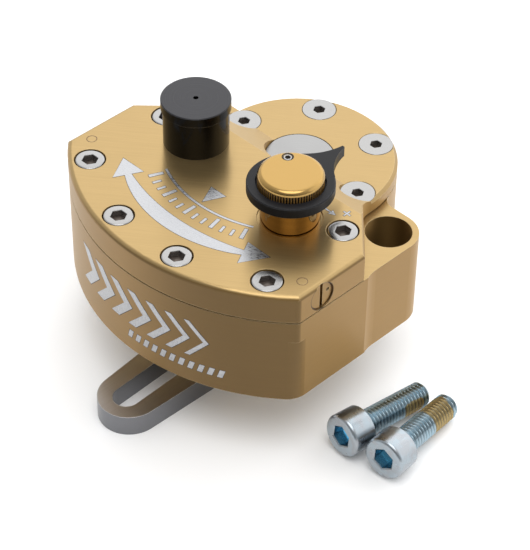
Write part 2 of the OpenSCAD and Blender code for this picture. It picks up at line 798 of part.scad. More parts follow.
// Swinging pieces: shaft, vane and link arm
module vane_shaft() {
    hub_z = floor_t + vane_gap;
    hub_top = body_h - vane_gap;
    color(steel) at_swing() difference() {
        union() {
            translate([0, 0, arm_hub_z]) linear_extrude(arm_hub_h + arm_gap) spline_plan(0);
            translate([0, 0, boss_z]) cylinder(d = lower_journal_d, h = hub_z - boss_z + over);
            translate([0, 0, hub_z]) cylinder(r = hub_r, h = hub_top - hub_z);
            translate([0, 0, hub_top - over]) cylinder(d = journal_d, h = disc_z - hub_top + over);
        }
        translate([-vane_t / 2 - seat_clear, -hub_r - over, hub_z - over])
            cube([vane_t + 2 * seat_clear, root_l + over + seat_clear, hub_top - hub_z + 2 * over]);
        translate([0, 0, disc_z - shaft_seal_depth()]) groove(journal_d / 2, upper_seal_d(), upper_seal_d());
    }
}
function upper_seal_d() = 1;
function shaft_seal_depth() = (disc_h - upper_bush_h) / 2;
module upper_shaft_seal() {
    color(rubber) at_swing() translate([0, 0, disc_z - shaft_seal_depth()])
        o_ring(journal_d / 2 - upper_seal_d() / 2, upper_seal_d() - 2 * groove_clear);
}
module vane() {
    h = chamber_h - 2 * vane_gap;
    color(grey_steel) at_swing() translate([0, 0, floor_t + vane_gap]) difference() {
        intersection() {
            translate([-vane_t / 2, -chamber_r, 0]) cube([vane_t, chamber_r - hub_r + root_l, h]);
            cylinder(r = vane_tip_r, h = h, $fn = 180);
        }
        translate([-tip_seal_t / 2 - groove_clear, -chamber_r, -over])
            cube([tip_seal_t + 2 * groove_clear, chamber_r - vane_tip_r + tip_seal_l, h + 2 * over]);
    }
}
module vane_tip_seal() {
    h = chamber_h - 2 * vane_gap;
    color(rubber) at_swing() translate([0, 0, floor_t + vane_gap]) intersection() {
        translate([-tip_seal_t / 2, -chamber_r, 0])
            cube([tip_seal_t, chamber_r - vane_tip_r + tip_seal_l - groove_clear, h]);
        cylinder(r = chamber_r - tip_seal_clear, h = h, $fn = 180);
    }
}
module arm_plan() {
    ny = (arm_hub_r - arm_tip_r) / arm_l;
    n = [sqrt(1 - ny * ny), -ny];
    side = [arm_hub_r * n, [0, -arm_l] + arm_tip_r * n];
    circle(r = arm_hub_r);
    translate([0, -arm_l]) circle(r = arm_tip_r);
    polygon([side[0], side[1], [-side[1].x, side[1].y], [-side[0].x, side[0].y]]);
}
module slot_plan() {
    for (y = [slot_in, slot_out]) translate([0, -y]) circle(d = slot_w);
    translate([-slot_w / 2, -slot_out]) square([slot_w, slot_out - slot_in]);
}
module link_arm() {
    clamp_y = pinch_y + pinch_wall;
    color(grey_steel) at_swing() difference() {
        union() {
            translate([0, 0, arm_bottom_z]) linear_extrude(arm_t) arm_plan();
            translate([0, 0, arm_hub_z]) cylinder(r = arm_hub_r, h = arm_hub_h);
            translate([-pinch_w / 2, 0, arm_hub_z]) cube([pinch_w, clamp_y, arm_hub_h]);
        }
        translate([0, 0, arm_bottom_z - over]) linear_extrude(arm_t + 2 * over) slot_plan();
        translate([0, 0, arm_hub_z - over]) linear_extrude(arm_hub_h + 2 * over) spline_plan(spline_clear);
        translate([-slit_w / 2, 0, arm_hub_z - over]) cube([slit_w, clamp_y + over, arm_hub_h + 2 * over]);
        at_pinch() {
            translate([0, 0, -pinch_w]) cylinder(d = pinch_d + 2 * thread_clear, h = 2 * pinch_w);
            cylinder(d = pinch_head_d + 2 * screw_clear, h = pinch_w);
        }
    }
}
module at_pinch() {
    translate([pinch_w / 2 - pinch_head_h, pinch_y, pinch_z]) rotate([0, 90, 0]) children();
}
module pinch_screw() {
    color(grey_steel) at_swing() at_pinch()
        cap_screw(pinch_d, pinch_head_d, pinch_head_h, pinch_w - pinch_head_h - over, cap_hex);
}

// Damping knob, its valve and its detent
module valve_housing() {
    color(bright_gold) at_knob() difference() {
        union() {
            translate([0, 0, recess_z]) cylinder(d = stem_d, h = stem_top_z - recess_z);
            translate([0, 0, spigot_z]) cylinder(d = spigot_d, h = spigot_h + over);
        }
        translate([0, 0, spigot_z - over])
            cylinder(d = needle_d + 2 * run_clear, h = stem_top_z - spigot_z + 2 * over);
        translate([0, 0, spigot_seal_z]) groove(spigot_d / 2, spigot_seal_d, spigot_seal_d);
        translate([0, 0, ball_z]) rotate_extrude()
            translate([ball_r, 0]) circle(d = ball_d + 2 * ball_gap, $fn = 32);
        for (i = [0 : notches - 1]) rotate(ball_a + 360 * i / notches)
            translate([ball_r - ball_d / 2, 0, ball_z - ball_d / 2 - ball_gap]) rotate([0, 90, 0])
                cylinder(r = notch_r, h = ball_d, $fn = 16);
    }
}
module housing_seal() {
    color(rubber) at_knob() translate([0, 0, spigot_seal_z])
        o_ring(spigot_d / 2 - spigot_seal_d / 2, spigot_seal_d - 2 * groove_clear);
}
function knurl_point(i) =
    (knob_d / 2 - knurl_in - (i % 2) * knurl_depth) * [cos(180 * i / knurls), sin(180 * i / knurls)];
module at_ball() {
    rotate(ball_a) translate([ball_r, 0, 0]) children();
}
module adjuster_knob() {
    skirt_z = pointer_top_z - skirt_in;
    crown_z = knob_top_z - knob_round;
    color(bright_gold) at_knob() difference() {
        union() {
            translate([0, 0, knob_z]) cylinder(d = knob_hub_d, h = pointer_t);
            translate([0, 0, skirt_z]) linear_extrude(crown_z - skirt_z)
                polygon([for (i = [0 : 2 * knurls - 1]) knurl_point(i)]);
            translate([0, 0, crown_z]) rotate_extrude() {
                square([knob_d / 2 - knob_round, knob_round]);
                intersection() {
                    translate([knob_d / 2 - knob_round, 0]) circle(r = knob_round, $fn = 64);
                    square([knob_d, knob_round]);
                }
            }
        }
        translate([0, 0, knob_z - over])
            hex(needle_hex + 2 * needle_hex_clear, pointer_t + needle_feed + over);
        at_ball() {
            translate([0, 0, knob_z - over]) cylinder(r = ball_hole_r, h = knob_top_z - knob_z + 2 * over);
            translate([0, 0, knob_top_z - mouth_chamfer])
                cylinder(r1 = ball_hole_r, r2 = ball_hole_r + mouth_chamfer, h = mouth_chamfer);
        }
    }
}
module knob_set_screw() {
    color(steel) at_knob() at_ball() translate([0, 0, set_screw_z]) difference() {
        cylinder(r = ball_hole_r - thread_clear, h = set_screw_l);
        translate([0, 0, set_screw_l / 2]) hex(set_hex, set_screw_l);
    }
}
// Centre of the hollow side of the pointer, tangent to the ring and ending at the tip's corner
function tail_c() =
    let (
        t = [pointer_tip_w / 2, pointer_l],
        far = pointer_d / 2 + pointer_side_r,
        d = norm(t),
        a = (far * far - pointer_side_r * pointer_side_r + d * d) / (2 * d),
        h = sqrt(far * far - a * a)
    )
    a * t / d + h * [t.y, -t.x] / d;
module tail_plan() {
    c = tail_c();
    foot = c * pointer_d / 2 / norm(c);
    difference() {
        polygon([
            [0, 0], foot, [pointer_tip_w / 2, pointer_l], [-pointer_tip_w / 2, pointer_l], [-foot.x, foot.y]
        ]);
        both_sides() translate(c) circle(r = pointer_side_r);
    }
}
module pointer_ring() {
    r = pointer_d / 2;
    rim = r - pointer_chamfer;
    color(black) at_knob() translate([0, 0, knob_z]) rotate(pointer_a) difference() {
        union() {
            rotate_extrude() polygon([
                [0, 0], [rim, 0], [r, pointer_chamfer], [r, pointer_t - pointer_chamfer],
                [rim, pointer_t], [0, pointer_t]
            ]);
            linear_extrude(pointer_t) tail_plan();
        }
        translate([0, 0, -over]) cylinder(d = knob_hub_d + 2 * thread_clear, h = pointer_t + 2 * over);
        translate([0, 0, pointer_t - skirt_in - thread_clear])
            cylinder(d = knob_d + 2 * skirt_gap, h = skirt_in + thread_clear + over);
    }
}
module valve_needle() {
    cone_top = needle_tip_z + needle_cone_h;
    color(steel) at_knob() difference() {
        union() {
            translate([0, 0, needle_tip_z])
                cylinder(d1 = needle_tip_d, d2 = needle_d - 2 * needle_shoulder, h = needle_cone_h);
            translate([0, 0, cone_top]) cylinder(d = needle_d, h = stem_top_z - cone_top - needle_feed);
            translate([0, 0, cone_top]) hex(needle_hex, needle_top_z - cone_top);
        }
        translate([0, 0, needle_seal_z]) groove(needle_d / 2, needle_seal_d, needle_seal_d);
    }
}
module needle_seal() {
    color(rubber) at_knob() translate([0, 0, needle_seal_z])
        o_ring(needle_d / 2 - needle_seal_d / 2, needle_seal_d - 2 * groove_clear);
}
module detent_ball() {
    color(steel) at_knob() at_ball() translate([0, 0, ball_z]) sphere(d = ball_d, $fn = 32);
}
module detent_spring() {
    z = ball_z + ball_d / 2 + groove_clear;
    color(grey_steel) at_knob() at_ball() translate([0, 0, z])
        helix_spring(detent_spring_d, detent_wire, set_screw_z - groove_clear - z, detent_curls);
}

// Oil reservoir with its sprung piston
module reservoir_cap() {
    top_z = cover_z + tank_h;
    lip_z = top_z - lip_h;
    color(black) at_tank() difference() {
        rotate_extrude() polygon([
            [0, tank_bottom_z], [tank_spigot_r, tank_bottom_z], [tank_spigot_r, cover_z],
            [tank_d / 2, cover_z], [tank_d / 2, lip_z - lip_d / 2 + tank_d / 2], [lip_d / 2, lip_z],
            [lip_d / 2, top_z - lip_chamfer], [lip_d / 2 - lip_chamfer, top_z], [0, top_z]
        ]);
        translate([0, 0, tank_bottom_z - over])
            cylinder(d = tank_bore, h = tank_inner_z - tank_bottom_z + over);
        translate([0, 0, tank_inner_z - over]) cylinder(d = vent_d, h = tank_top_t + 2 * over);
        translate([0, 0, tank_seal_z]) groove(tank_spigot_r, tank_seal_d, tank_seal_d);
    }
}
module cap_seal() {
    color(rubber) at_tank() translate([0, 0, tank_seal_z])
        o_ring(tank_spigot_r - tank_seal_d / 2, tank_seal_d - 2 * groove_clear);
}
module reservoir_piston() {
    r = tank_bore / 2 - run_clear;
    color(steel) at_tank() translate([0, 0, piston_z]) difference() {
        cylinder(r = r, h = piston_h);
        translate([0, 0, piston_h / 2]) groove(r, piston_seal_d, piston_seal_d);
    }
}
module piston_seal() {
    r = tank_bore / 2 - run_clear;
    color(rubber) at_tank() translate([0, 0, piston_z + piston_h / 2])
        o_ring(r - piston_seal_d / 2, piston_seal_d - 2 * groove_clear);
}
module reservoir_spring() {
    color(grey_steel) at_tank() translate([0, 0, spring_z + groove_clear])
        helix_spring(spring_d, spring_wire, tank_inner_z - spring_z - 2 * groove_clear, spring_curls);
}

// Slotted sweep adjusters, one in each flat side of the cover
module sweep_screw(side) {
    seal_z = -sweep_t - sweep_stem_l / 2;
    color(bright_gold) at_sweep(side) difference() {
        union() {
            translate([0, 0, -sweep_t]) cylinder(d = sweep_d, h = sweep_t);
            translate([0, 0, -sweep_t - sweep_stem_l]) cylinder(d = sweep_stem_d, h = sweep_stem_l + over);
        }
        translate([-sweep_d, -sweep_slot_w / 2, -sweep_slot_h])
            cube([2 * sweep_d, sweep_slot_w, sweep_slot_h + over]);
        rotate(side > 0 ? dot_a : -dot_a) translate([dot_r, 0, -dot_h])
            cylinder(d = dot_d, h = dot_h + over);
        translate([0, 0, seal_z]) groove(sweep_stem_d / 2, sweep_seal_d, sweep_seal_d);
    }
}
module sweep_seal(side) {
    color(rubber) at_sweep(side) translate([0, 0, -sweep_t - sweep_stem_l / 2])
        o_ring(sweep_stem_d / 2 - sweep_seal_d / 2, sweep_seal_d - 2 * groove_clear);
}
module sweep_screw_right() {
    sweep_screw(1);
}
module sweep_screw_left() {
    sweep_screw(-1);
}
module sweep_seal_right() {
    sweep_seal(1);
}
module sweep_seal_left() {
    sweep_seal(-1);
}

// Loose mounting bolts, lying on the surface that the arm rests on
module thread_profile() {
    tip = 0.8;
    ridges = floor((bolt_l - bolt_plain_l - tip) / bolt_pitch);
    depth = 0.5 * bolt_pitch;
    r = bolt_d / 2;
    polygon([
        [0, 0], [r, 0], [r, -bolt_plain_l],
        for (i = [0 : ridges - 1]) each [
            [r - depth, -bolt_plain_l - (i + 0.5) * bolt_pitch],
            [r, -bolt_plain_l - (i + 1) * bolt_pitch]
        ],
        [r - depth, -bolt_l + tip], [r - depth - tip, -bolt_l], [0, -bolt_l]
    ]);
}
module mounting_bolt(spot) {
    head_r = bolt_head_d / 2;
    color(zinc) at_shaft() translate([spot.x, spot.y, arm_bottom_z]) rotate(spot.z)
        rotate([0, bolt_tilt, 0]) translate([0, 0, head_r]) rotate([0, -90, 0]) difference() {
            union() {
                rotate_extrude() thread_profile();
                cylinder(r = head_r, h = bolt_head_h - bolt_chamfer);
                translate([0, 0, bolt_head_h - bolt_chamfer])
                    cylinder(r1 = head_r, r2 = head_r - bolt_chamfer, h = bolt_chamfer);
            }
            translate([0, 0, bolt_head_h - bolt_hex_h]) hex(bolt_hex, bolt_hex_h + over);
        }
}
module mounting_bolt_front() {
    mounting_bolt(bolt_spots[0]);
}
module mounting_bolt_rear() {
    mounting_bolt(bolt_spots[1]);
}

main_body();
top_cover();
chamber_seal();
lid_cap_screws();
lid_flat_screws();
oil_plugs();
vane_shaft();
vane();
vane_tip_seal();
upper_bush();
lower_bush();
upper_shaft_seal();
lower_shaft_seal();
seal_clip();
link_arm();
pinch_screw();
valve_housing();
housing_seal();
adjuster_knob();
pointer_ring();
knob_set_screw();
valve_needle();
needle_seal();
detent_ball();
detent_spring();
reservoir_cap();
cap_seal();
reservoir_piston();
piston_seal();
reservoir_spring();
sweep_screw_right();
sweep_seal_right();
sweep_screw_left();
sweep_seal_left();
mounting_bolt_front();
mounting_bolt_rear();
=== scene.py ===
"""Looks of a rotary steering damper: finishes, screws, springs, marks and a plain studio."""

import math

import bmesh
import bpy
import numpy as np
from mathutils import Euler, Matrix, Vector


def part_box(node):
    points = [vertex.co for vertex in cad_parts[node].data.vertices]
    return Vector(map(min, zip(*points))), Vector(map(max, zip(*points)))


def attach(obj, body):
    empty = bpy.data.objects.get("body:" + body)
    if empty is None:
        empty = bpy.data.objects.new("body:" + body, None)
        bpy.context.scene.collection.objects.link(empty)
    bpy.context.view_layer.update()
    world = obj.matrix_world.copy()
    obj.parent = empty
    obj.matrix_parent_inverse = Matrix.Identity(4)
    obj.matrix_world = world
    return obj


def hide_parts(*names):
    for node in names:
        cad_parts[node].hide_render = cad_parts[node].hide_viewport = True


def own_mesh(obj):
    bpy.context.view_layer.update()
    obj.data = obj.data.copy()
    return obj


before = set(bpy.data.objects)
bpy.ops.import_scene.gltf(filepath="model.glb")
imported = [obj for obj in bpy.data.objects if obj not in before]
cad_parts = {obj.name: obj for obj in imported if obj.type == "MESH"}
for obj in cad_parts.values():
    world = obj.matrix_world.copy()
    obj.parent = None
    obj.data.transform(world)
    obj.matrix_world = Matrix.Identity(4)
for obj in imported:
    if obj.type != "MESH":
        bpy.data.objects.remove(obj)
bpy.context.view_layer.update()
MM = 0.001


# Places and sizes, in millimetres, read from the solids
def corners(name):
    low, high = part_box(name)
    return low / MM, high / MM


def middle_of(low, high):
    """Middle of a box, seen from above."""
    return Vector(((low.x + high.x) / 2, (low.y + high.y) / 2, 0))


def axis_of(name):
    return middle_of(*corners(name))


def clusters(name, reach=12):
    """Box of each separate screw of a node whose screws stand further apart than reach."""
    groups = []
    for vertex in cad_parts[name].data.vertices:
        point = vertex.co / MM
        for group in groups:
            if (group[0].xy - point.xy).length < reach:
                group.append(point)
                break
        else:
            groups.append([point])
    boxes = []
    for group in groups:
        points = np.array(group)
        boxes.append((Vector(points.min(0)), Vector(points.max(0))))
    return boxes


SHAFT = axis_of("upper_bush")
KNOB = axis_of("adjuster_knob")
TANK = axis_of("reservoir_cap")
COVER_TOP = corners("top_cover")[1].z
FRONT_R = SHAFT.y - corners("main_body")[0].y
FLOOR_Z = corners("link_arm")[0].z
CROWN_Z = corners("adjuster_knob")[1].z
KNOB_R = corners("adjuster_knob")[1].x - KNOB.x
SEAM_Z = corners("main_body")[1].z
SIDE_X = corners("main_body")[1].x


# Shader nodes
def feed(tree, socket, value):
    """Gives an input a value or the output of another node."""
    if isinstance(value, bpy.types.NodeSocket):
        tree.links.new(value, socket)
    else:
        socket.default_value = value


def add_node(tree, kind, inputs, output=0, **settings):
    """Adds a node with these inputs and returns one of its outputs."""
    made = tree.nodes.new("ShaderNode" + kind)
    for key, value in settings.items():
        setattr(made, key, value)
    for key, value in inputs.items():
        feed(tree, made.inputs[key], value)
    return made.outputs[output]


# Values that a noise pattern mostly stays between
NOISE_LOW = 0.3
NOISE_HIGH = 0.7
# How far a pattern stands out at full relief
RELIEF_HEIGHT = 0.1
BEVEL_SAMPLES = 4
# Upright part of the normal, at most on a wall and at least on a level face
WALL_NORMAL = 0.45
LEVEL_NORMAL = 0.85
# Cosine between the softened and the true normal, at a sharp edge and on a face
EDGE_COSINE = 0.9
FACE_COSINE = 0.99
# Dark line round each sweep screw's bore: width, soft border, strength and depth of wall
BORE_LINE = 0.2
BORE_BORDER = 0.03
BORE_SHADE = 0.85
BORE_WALL = 0.1
# Metallic value of bare metal and of other surfaces
METAL = 1.0
NO_METAL = 0.0


class Finish:
    """A Principled material and short calls for its nodes, with places in millimetres."""

    def __init__(self, name, colour, metallic, roughness, **constants):
        self.material = bpy.data.materials.new(name)
        self.material.use_nodes = True
        self.material.diffuse_color = (*colour, 1)
        self.tree = self.material.node_tree
        self.shader = self.tree.nodes["Principled BSDF"]
        self.colour = colour
        self.roughness = roughness
        self.put("Base Color", (*colour, 1))
        self.put("Metallic", metallic)
        self.put("Roughness", roughness)
        for socket, value in constants.items():
            self.put(socket.replace("_", " "), value)

    def put(self, socket, value):
        feed(self.tree, self.shader.inputs[socket], value)

    def add(self, kind, inputs, output=0, **settings):
        return add_node(self.tree, kind, inputs, output, **settings)

    def math(self, operation, first, second=0.0):
        return self.add("Math", {0: first, 1: second}, operation=operation)

    def times(self, first, second):
        return self.math("MULTIPLY", first, second)

    def distance(self, value, place):
        return self.math("ABSOLUTE", self.math("SUBTRACT", value, place))

    def hypotenuse(self, first, second):
        squares = self.math("ADD", self.times(first, first), self.times(second, second))
        return self.math("SQRT", squares)

    def mark(self, name):
        """Value that the mesh itself carries under that name."""
        return self.add("Attribute", {}, output="Fac", attribute_name=name)

    def point(self):
        place = self.add("TexCoord", {}, output="Object")
        return self.add("VectorMath", {0: place, "Scale": 1 / MM}, operation="SCALE")

    def about(self, centre):
        """Place measured from an upright axis."""
        return self.add("VectorMath", {0: self.point(), 1: centre}, operation="SUBTRACT")

    def xyz(self, vector):
        made = self.tree.nodes.new("ShaderNodeSeparateXYZ")
        self.tree.links.new(vector, made.inputs[0])
        return made.outputs

    def height(self):
        return self.xyz(self.point())[2]

    def stretch(self, vector, scale, turn=0.0):
        """Pattern space whose long direction is turned about the upright axis."""
        inputs = {"Vector": vector, "Angle": -math.radians(turn)}
        turned = self.add("VectorRotate", inputs, rotation_type="Z_AXIS")
        return self.add("Mapping", {"Vector": turned, "Scale": scale})

    def noise(self, vector, scale=1.0, detail=3.0):
        return self.add("TexNoise", {"Vector": vector, "Scale": scale, "Detail": detail})

    def spread(self, value, low, high, to_low=0.0, to_high=1.0):
        inputs = {0: value, 1: low, 2: high, 3: to_low, 4: to_high}
        return self.add("MapRange", inputs, interpolation_type="SMOOTHSTEP")

    def vary(self, pattern, to_low=0.0, to_high=1.0):
        """A noise pattern spread from to_low to to_high."""
        return self.spread(pattern, NOISE_LOW, NOISE_HIGH, to_low, to_high)

    def blend(self, factor, first, second):
        return self.add("Mix", {0: factor, 2: first, 3: second})

    def mix_colours(self, factor, first, second):
        inputs = {0: factor, 6: first, 7: second}
        return self.add("Mix", inputs, output=2, data_type="RGBA")

    def tint(self, factor, first, second):
        return self.mix_colours(factor, (*first, 1), (*second, 1))

    def shades(self, factor, colour, depth):
        """A little darker to a little lighter than the colour."""
        darker = [c * (1 - depth) for c in colour]
        lighter = [c * (1 + depth) for c in colour]
        return self.tint(factor, darker, lighter)

    def radius(self, centre):
        """Distance from an upright axis."""
        x, y, z = self.xyz(self.about(centre))
        return self.hypotenuse(x, y)

    def rings(self, centre, density):
        """Fine turned rings about an upright axis."""
        across = self.times(self.radius(centre), density)
        place = self.add("CombineXYZ", {0: across, 1: 0.0, 2: self.height()})
        return self.noise(place, detail=2.0)

    def round_tangent(self, centre):
        """Direction of turning about an upright axis."""
        x, y, z = self.xyz(self.about(centre))
        return self.add("CombineXYZ", {0: self.times(y, -1.0), 1: x, 2: 0.0})

    def bore_line(self, name):
        """Dark line on the side walls round the bore of a screw that lies across the part."""
        low, high = corners(name)
        x, y, z = self.xyz(self.point())
        along = self.math("SUBTRACT", y, (low.y + high.y) / 2)
        up = self.math("SUBTRACT", z, (low.z + high.z) / 2)
        off = self.distance(self.hypotenuse(along, up), (high.z - low.z + BORE_LINE) / 2)
        half = BORE_LINE / 2
        line = self.spread(off, half - BORE_BORDER, half + BORE_BORDER, BORE_SHADE, 0.0)
        across = self.math("ABSOLUTE", x)
        on_wall = self.spread(across, SIDE_X - BORE_WALL, SIDE_X - BORE_WALL / 2)
        return self.times(line, on_wall)

    def flatness(self):
        """One on faces that look up or down, none on upright walls."""
        normal = self.add("TexCoord", {}, output="Normal")
        upright = self.math("ABSOLUTE", self.xyz(normal)[2])
        return self.spread(upright, WALL_NORMAL, LEVEL_NORMAL)

    def painted_edge_highlight(self, share):
        """Painted highlight: that share along the sharp edges that detail has softened, none on
        faces.
        """
        true = self.add("NewGeometry", {}, output="Normal")
        normals = {0: self.soft, 1: true}
        turned = self.add("VectorMath", normals, output="Value", operation="DOT_PRODUCT")
        return self.times(self.spread(turned, EDGE_COSINE, FACE_COSINE, 1.0, 0.0), share)

    def detail(self, pattern, tint=0.0, gloss=0.0, relief=0.0, edge=0.0):
        """Lets a pattern change colour and roughness and stand out; edge softens sharp edges."""
        if tint:
            self.put("Base Color", self.shades(self.vary(pattern), self.colour, tint))
        if gloss:
            rough = self.vary(pattern, self.roughness - gloss, self.roughness + gloss)
            self.put("Roughness", rough)
        if relief or edge:
            inputs = {"Strength": relief, "Distance": RELIEF_HEIGHT * MM, "Height": pattern}
            if edge:
                self.soft = self.add("Bevel", {"Radius": edge * MM}, samples=BEVEL_SAMPLES)
                inputs["Normal"] = self.soft
            self.put("Normal", self.add("Bump", inputs))


# Colours
GOLD = (0.406, 0.283, 0.127)
# Painted shade on the gold walls: lighter seen at a glancing angle, deepest seen straight on
WALL_SHADE_GOLD = (0.355, 0.219, 0.079)
STRAIGHT_ON_SHADE_GOLD = (0.185, 0.111, 0.035)
# Painted highlight along the gold's sharp edges
EDGE_HIGHLIGHT_GOLD = (0.72, 0.56, 0.31)
SEAM_SHADE = (0.02, 0.013, 0.007)
RICH_GOLD = (0.40, 0.255, 0.087)
HOUSING_GOLD = (0.40, 0.235, 0.075)
# Knurled band in painted shade: near black between its ridges, darker gold on them
KNURL_SHADE = (0.012, 0.007, 0.003)
KNURL_SHADE_GOLD = (0.34, 0.19, 0.055)
POINTER_BLACK = (0.003, 0.003, 0.004)
POINTER_FACE = (0.012, 0.012, 0.014)
CAP_BLACK = (0.002, 0.002, 0.002)
CAP_FACE = (0.026, 0.026, 0.031)
# Painted highlight along the black pieces' sharp edges
EDGE_HIGHLIGHT_BLACK = (0.12, 0.12, 0.125)
STEEL = (0.345, 0.342, 0.338)
# Painted shade inside the cover screws' sockets
SOCKET_SHADE = (0.15, 0.125, 0.108)
SHAFT_STEEL = (0.32, 0.318, 0.316)
# Arm: walls in painted shade, level faces in painted light
ARM_SHADE_STEEL = (0.21, 0.212, 0.224)
ARM_LIT_FACE = (0.49, 0.47, 0.455)
# Painted highlight along the steel's sharp edges
EDGE_HIGHLIGHT_STEEL = (0.8, 0.8, 0.81)
GREY_STEEL = (0.28, 0.28, 0.29)
COIL_STEEL = (0.35, 0.35, 0.36)
BRONZE = (0.55, 0.33, 0.13)
SEAL_BLACK = (0.02, 0.02, 0.022)
CUT_ALLOY = (0.42, 0.425, 0.44)
# Painted shade round engraved marks, on the index holes' floors and on the set screw's bevel
PAINTED_SHADE_COLOUR = (0.035, 0.026, 0.016)
BROWN_INK = (0.10, 0.048, 0.018)
ZINC = (0.37, 0.392, 0.417)
BLUE_ZINC = (0.38, 0.52, 0.60)
# Painted shade, deeper blue, in the bolts' sockets
SOCKET_SHADE_BLUE = (0.22, 0.47, 0.60)
AMBER = (0.43, 0.32, 0.14)
# Painted highlight on thread crests and painted shade in thread roots
CREST_HIGHLIGHT = (0.68, 0.75, 0.79)
THREAD_SHADE = (0.03, 0.055, 0.07)

# Gold anodising: direction of the grain on the cover, from the right towards the back, in
# degrees, and how fine the grain is along each axis on the tops and on the walls
GRAIN_TURN = 38
TOP_GRAIN = (0.06, 5.0, 0.06)
SIDE_GRAIN = (0.05, 0.05, 2.4)
CLOUD_SHARE = 0.25
TOP_ROUGHNESS = 0.29
SIDE_ROUGHNESS = 0.56
ROUGHNESS_PLAY = 0.01
TOP_COAT = 0.04
SIDE_COAT = 0.4
# Layer Weight's facing value where the walls' painted shade turns from straight on to glancing
FACING_STRAIGHT = 0.28
FACING_GLANCING = 0.56
# Line at the seam of body and cover: half its core, half its whole width, and its strength
SEAM_CORE = 0.05
SEAM_WIDTH = 0.16
SEAM_STRENGTH = 0.9


def gold_grain(made, flat):
    """Brushed lines on the tops and level ones on the walls, over faint clouds."""
    top = made.noise(made.stretch(made.point(), TOP_GRAIN, GRAIN_TURN), detail=2.0)
    side = made.noise(made.stretch(made.point(), SIDE_GRAIN))
    cloud = made.noise(made.point(), scale=0.06, detail=2.0)
    return made.blend(CLOUD_SHARE, made.blend(flat, side, top), cloud)


def gold_colour(made, pattern, flat):
    """Bright tops, walls in painted shade that is deepest seen straight on, a painted highlight
    along the edges, dark at the seam and the bores.
    """
    shade = made.vary(pattern)
    # Painted shade: walls seen straight on turn to the deeper gold
    facing = made.add("LayerWeight", {"Blend": 0.5}, output="Facing")
    glance = made.spread(facing, FACING_STRAIGHT, FACING_GLANCING)
    deep = made.shades(shade, STRAIGHT_ON_SHADE_GOLD, depth=0.03)
    wall = made.mix_colours(glance, deep, made.shades(shade, WALL_SHADE_GOLD, depth=0.03))
    skin = made.mix_colours(flat, wall, made.shades(shade, GOLD, depth=0.05))
    skin = made.mix_colours(made.painted_edge_highlight(share=0.7), skin, (*EDGE_HIGHLIGHT_GOLD, 1))
    off_seam = made.distance(made.height(), SEAM_Z)
    line = made.spread(off_seam, SEAM_CORE, SEAM_WIDTH, SEAM_STRENGTH, 0.0)
    seam = made.times(line, made.math("SUBTRACT", 1.0, flat))
    dark = made.math("MAXIMUM", seam, made.bore_line("sweep_screw_right"))
    return made.mix_colours(dark, skin, (*SEAM_SHADE, 1))


def brushed_gold():
    """Anodised gold, brushed along the cover's grain."""
    gloss = {"Anisotropic": 0.8, "Coat_Roughness": 0.3}
    made = Finish("brushed gold anodising", GOLD, METAL, TOP_ROUGHNESS, **gloss)
    flat = made.flatness()
    pattern = gold_grain(made, flat)
    made.detail(pattern, relief=0.001, edge=0.22)
    made.put("Base Color", gold_colour(made, pattern, flat))
    made.put("Coat Weight", made.blend(flat, SIDE_COAT, TOP_COAT))
    rough = made.blend(flat, SIDE_ROUGHNESS, TOP_ROUGHNESS)
    play = made.vary(pattern, -ROUGHNESS_PLAY, ROUGHNESS_PLAY)
    made.put("Roughness", made.math("ADD", rough, play))
    turn = math.radians(GRAIN_TURN)
    across = (-math.sin(turn), math.cos(turn), 0.0)
    directions = {0: flat, 4: (0.0, 0.0, 1.0), 5: across}
    made.put("Tangent", made.add("Mix", directions, output=1, data_type="VECTOR"))
    return made.material


def polished_gold(name, colour, centre):
    made = Finish(name, colour, METAL, roughness=0.12)
    rings = made.rings(centre, density=6.0)
    made.detail(rings, tint=0.04, gloss=0.03, relief=0.01, edge=0.12)
    return made.material


# Knob: where the knurled band ends below the crown's top, and its ridges inside the rim
BAND_TOP = (1.7, 1.5)
RIDGE_INSET = (0.3, 0.12)
CROWN_ROUGHNESS = 0.17
CROWN_PLAY = 0.04
BAND_ROUGHNESS = 0.45
BAND_METALLIC = 0.35


def knob_gold():
    """Polished crown over a knurled band in painted shade, darkest between its ridges."""
    made = Finish("knob gold", RICH_GOLD, METAL, CROWN_ROUGHNESS, Anisotropic=0.3)
    pattern = made.rings(KNOB, density=5.0)
    made.detail(pattern, relief=0.01, edge=0.1)
    crown = made.spread(made.height(), CROWN_Z - BAND_TOP[0], CROWN_Z - BAND_TOP[1])
    ridge = made.spread(made.radius(KNOB), KNOB_R - RIDGE_INSET[0], KNOB_R - RIDGE_INSET[1])
    band = made.tint(ridge, KNURL_SHADE, KNURL_SHADE_GOLD)
    made.put("Base Color", made.mix_colours(crown, band, (*RICH_GOLD, 1)))
    made.put("Metallic", made.spread(crown, 0.0, 1.0, BAND_METALLIC, METAL))
    shine = made.vary(pattern, CROWN_ROUGHNESS - CROWN_PLAY, CROWN_ROUGHNESS + CROWN_PLAY)
    made.put("Roughness", made.blend(crown, BAND_ROUGHNESS, shine))
    made.put("Tangent", made.round_tangent(KNOB))
    return made.material


# Black pieces: how much rougher their turned faces are than their walls, how much the roughness
# varies, and the least share of the face's colour
FACE_DULL = 0.1
BLACK_PLAY = 0.03
FACE_LEAST = 0.85


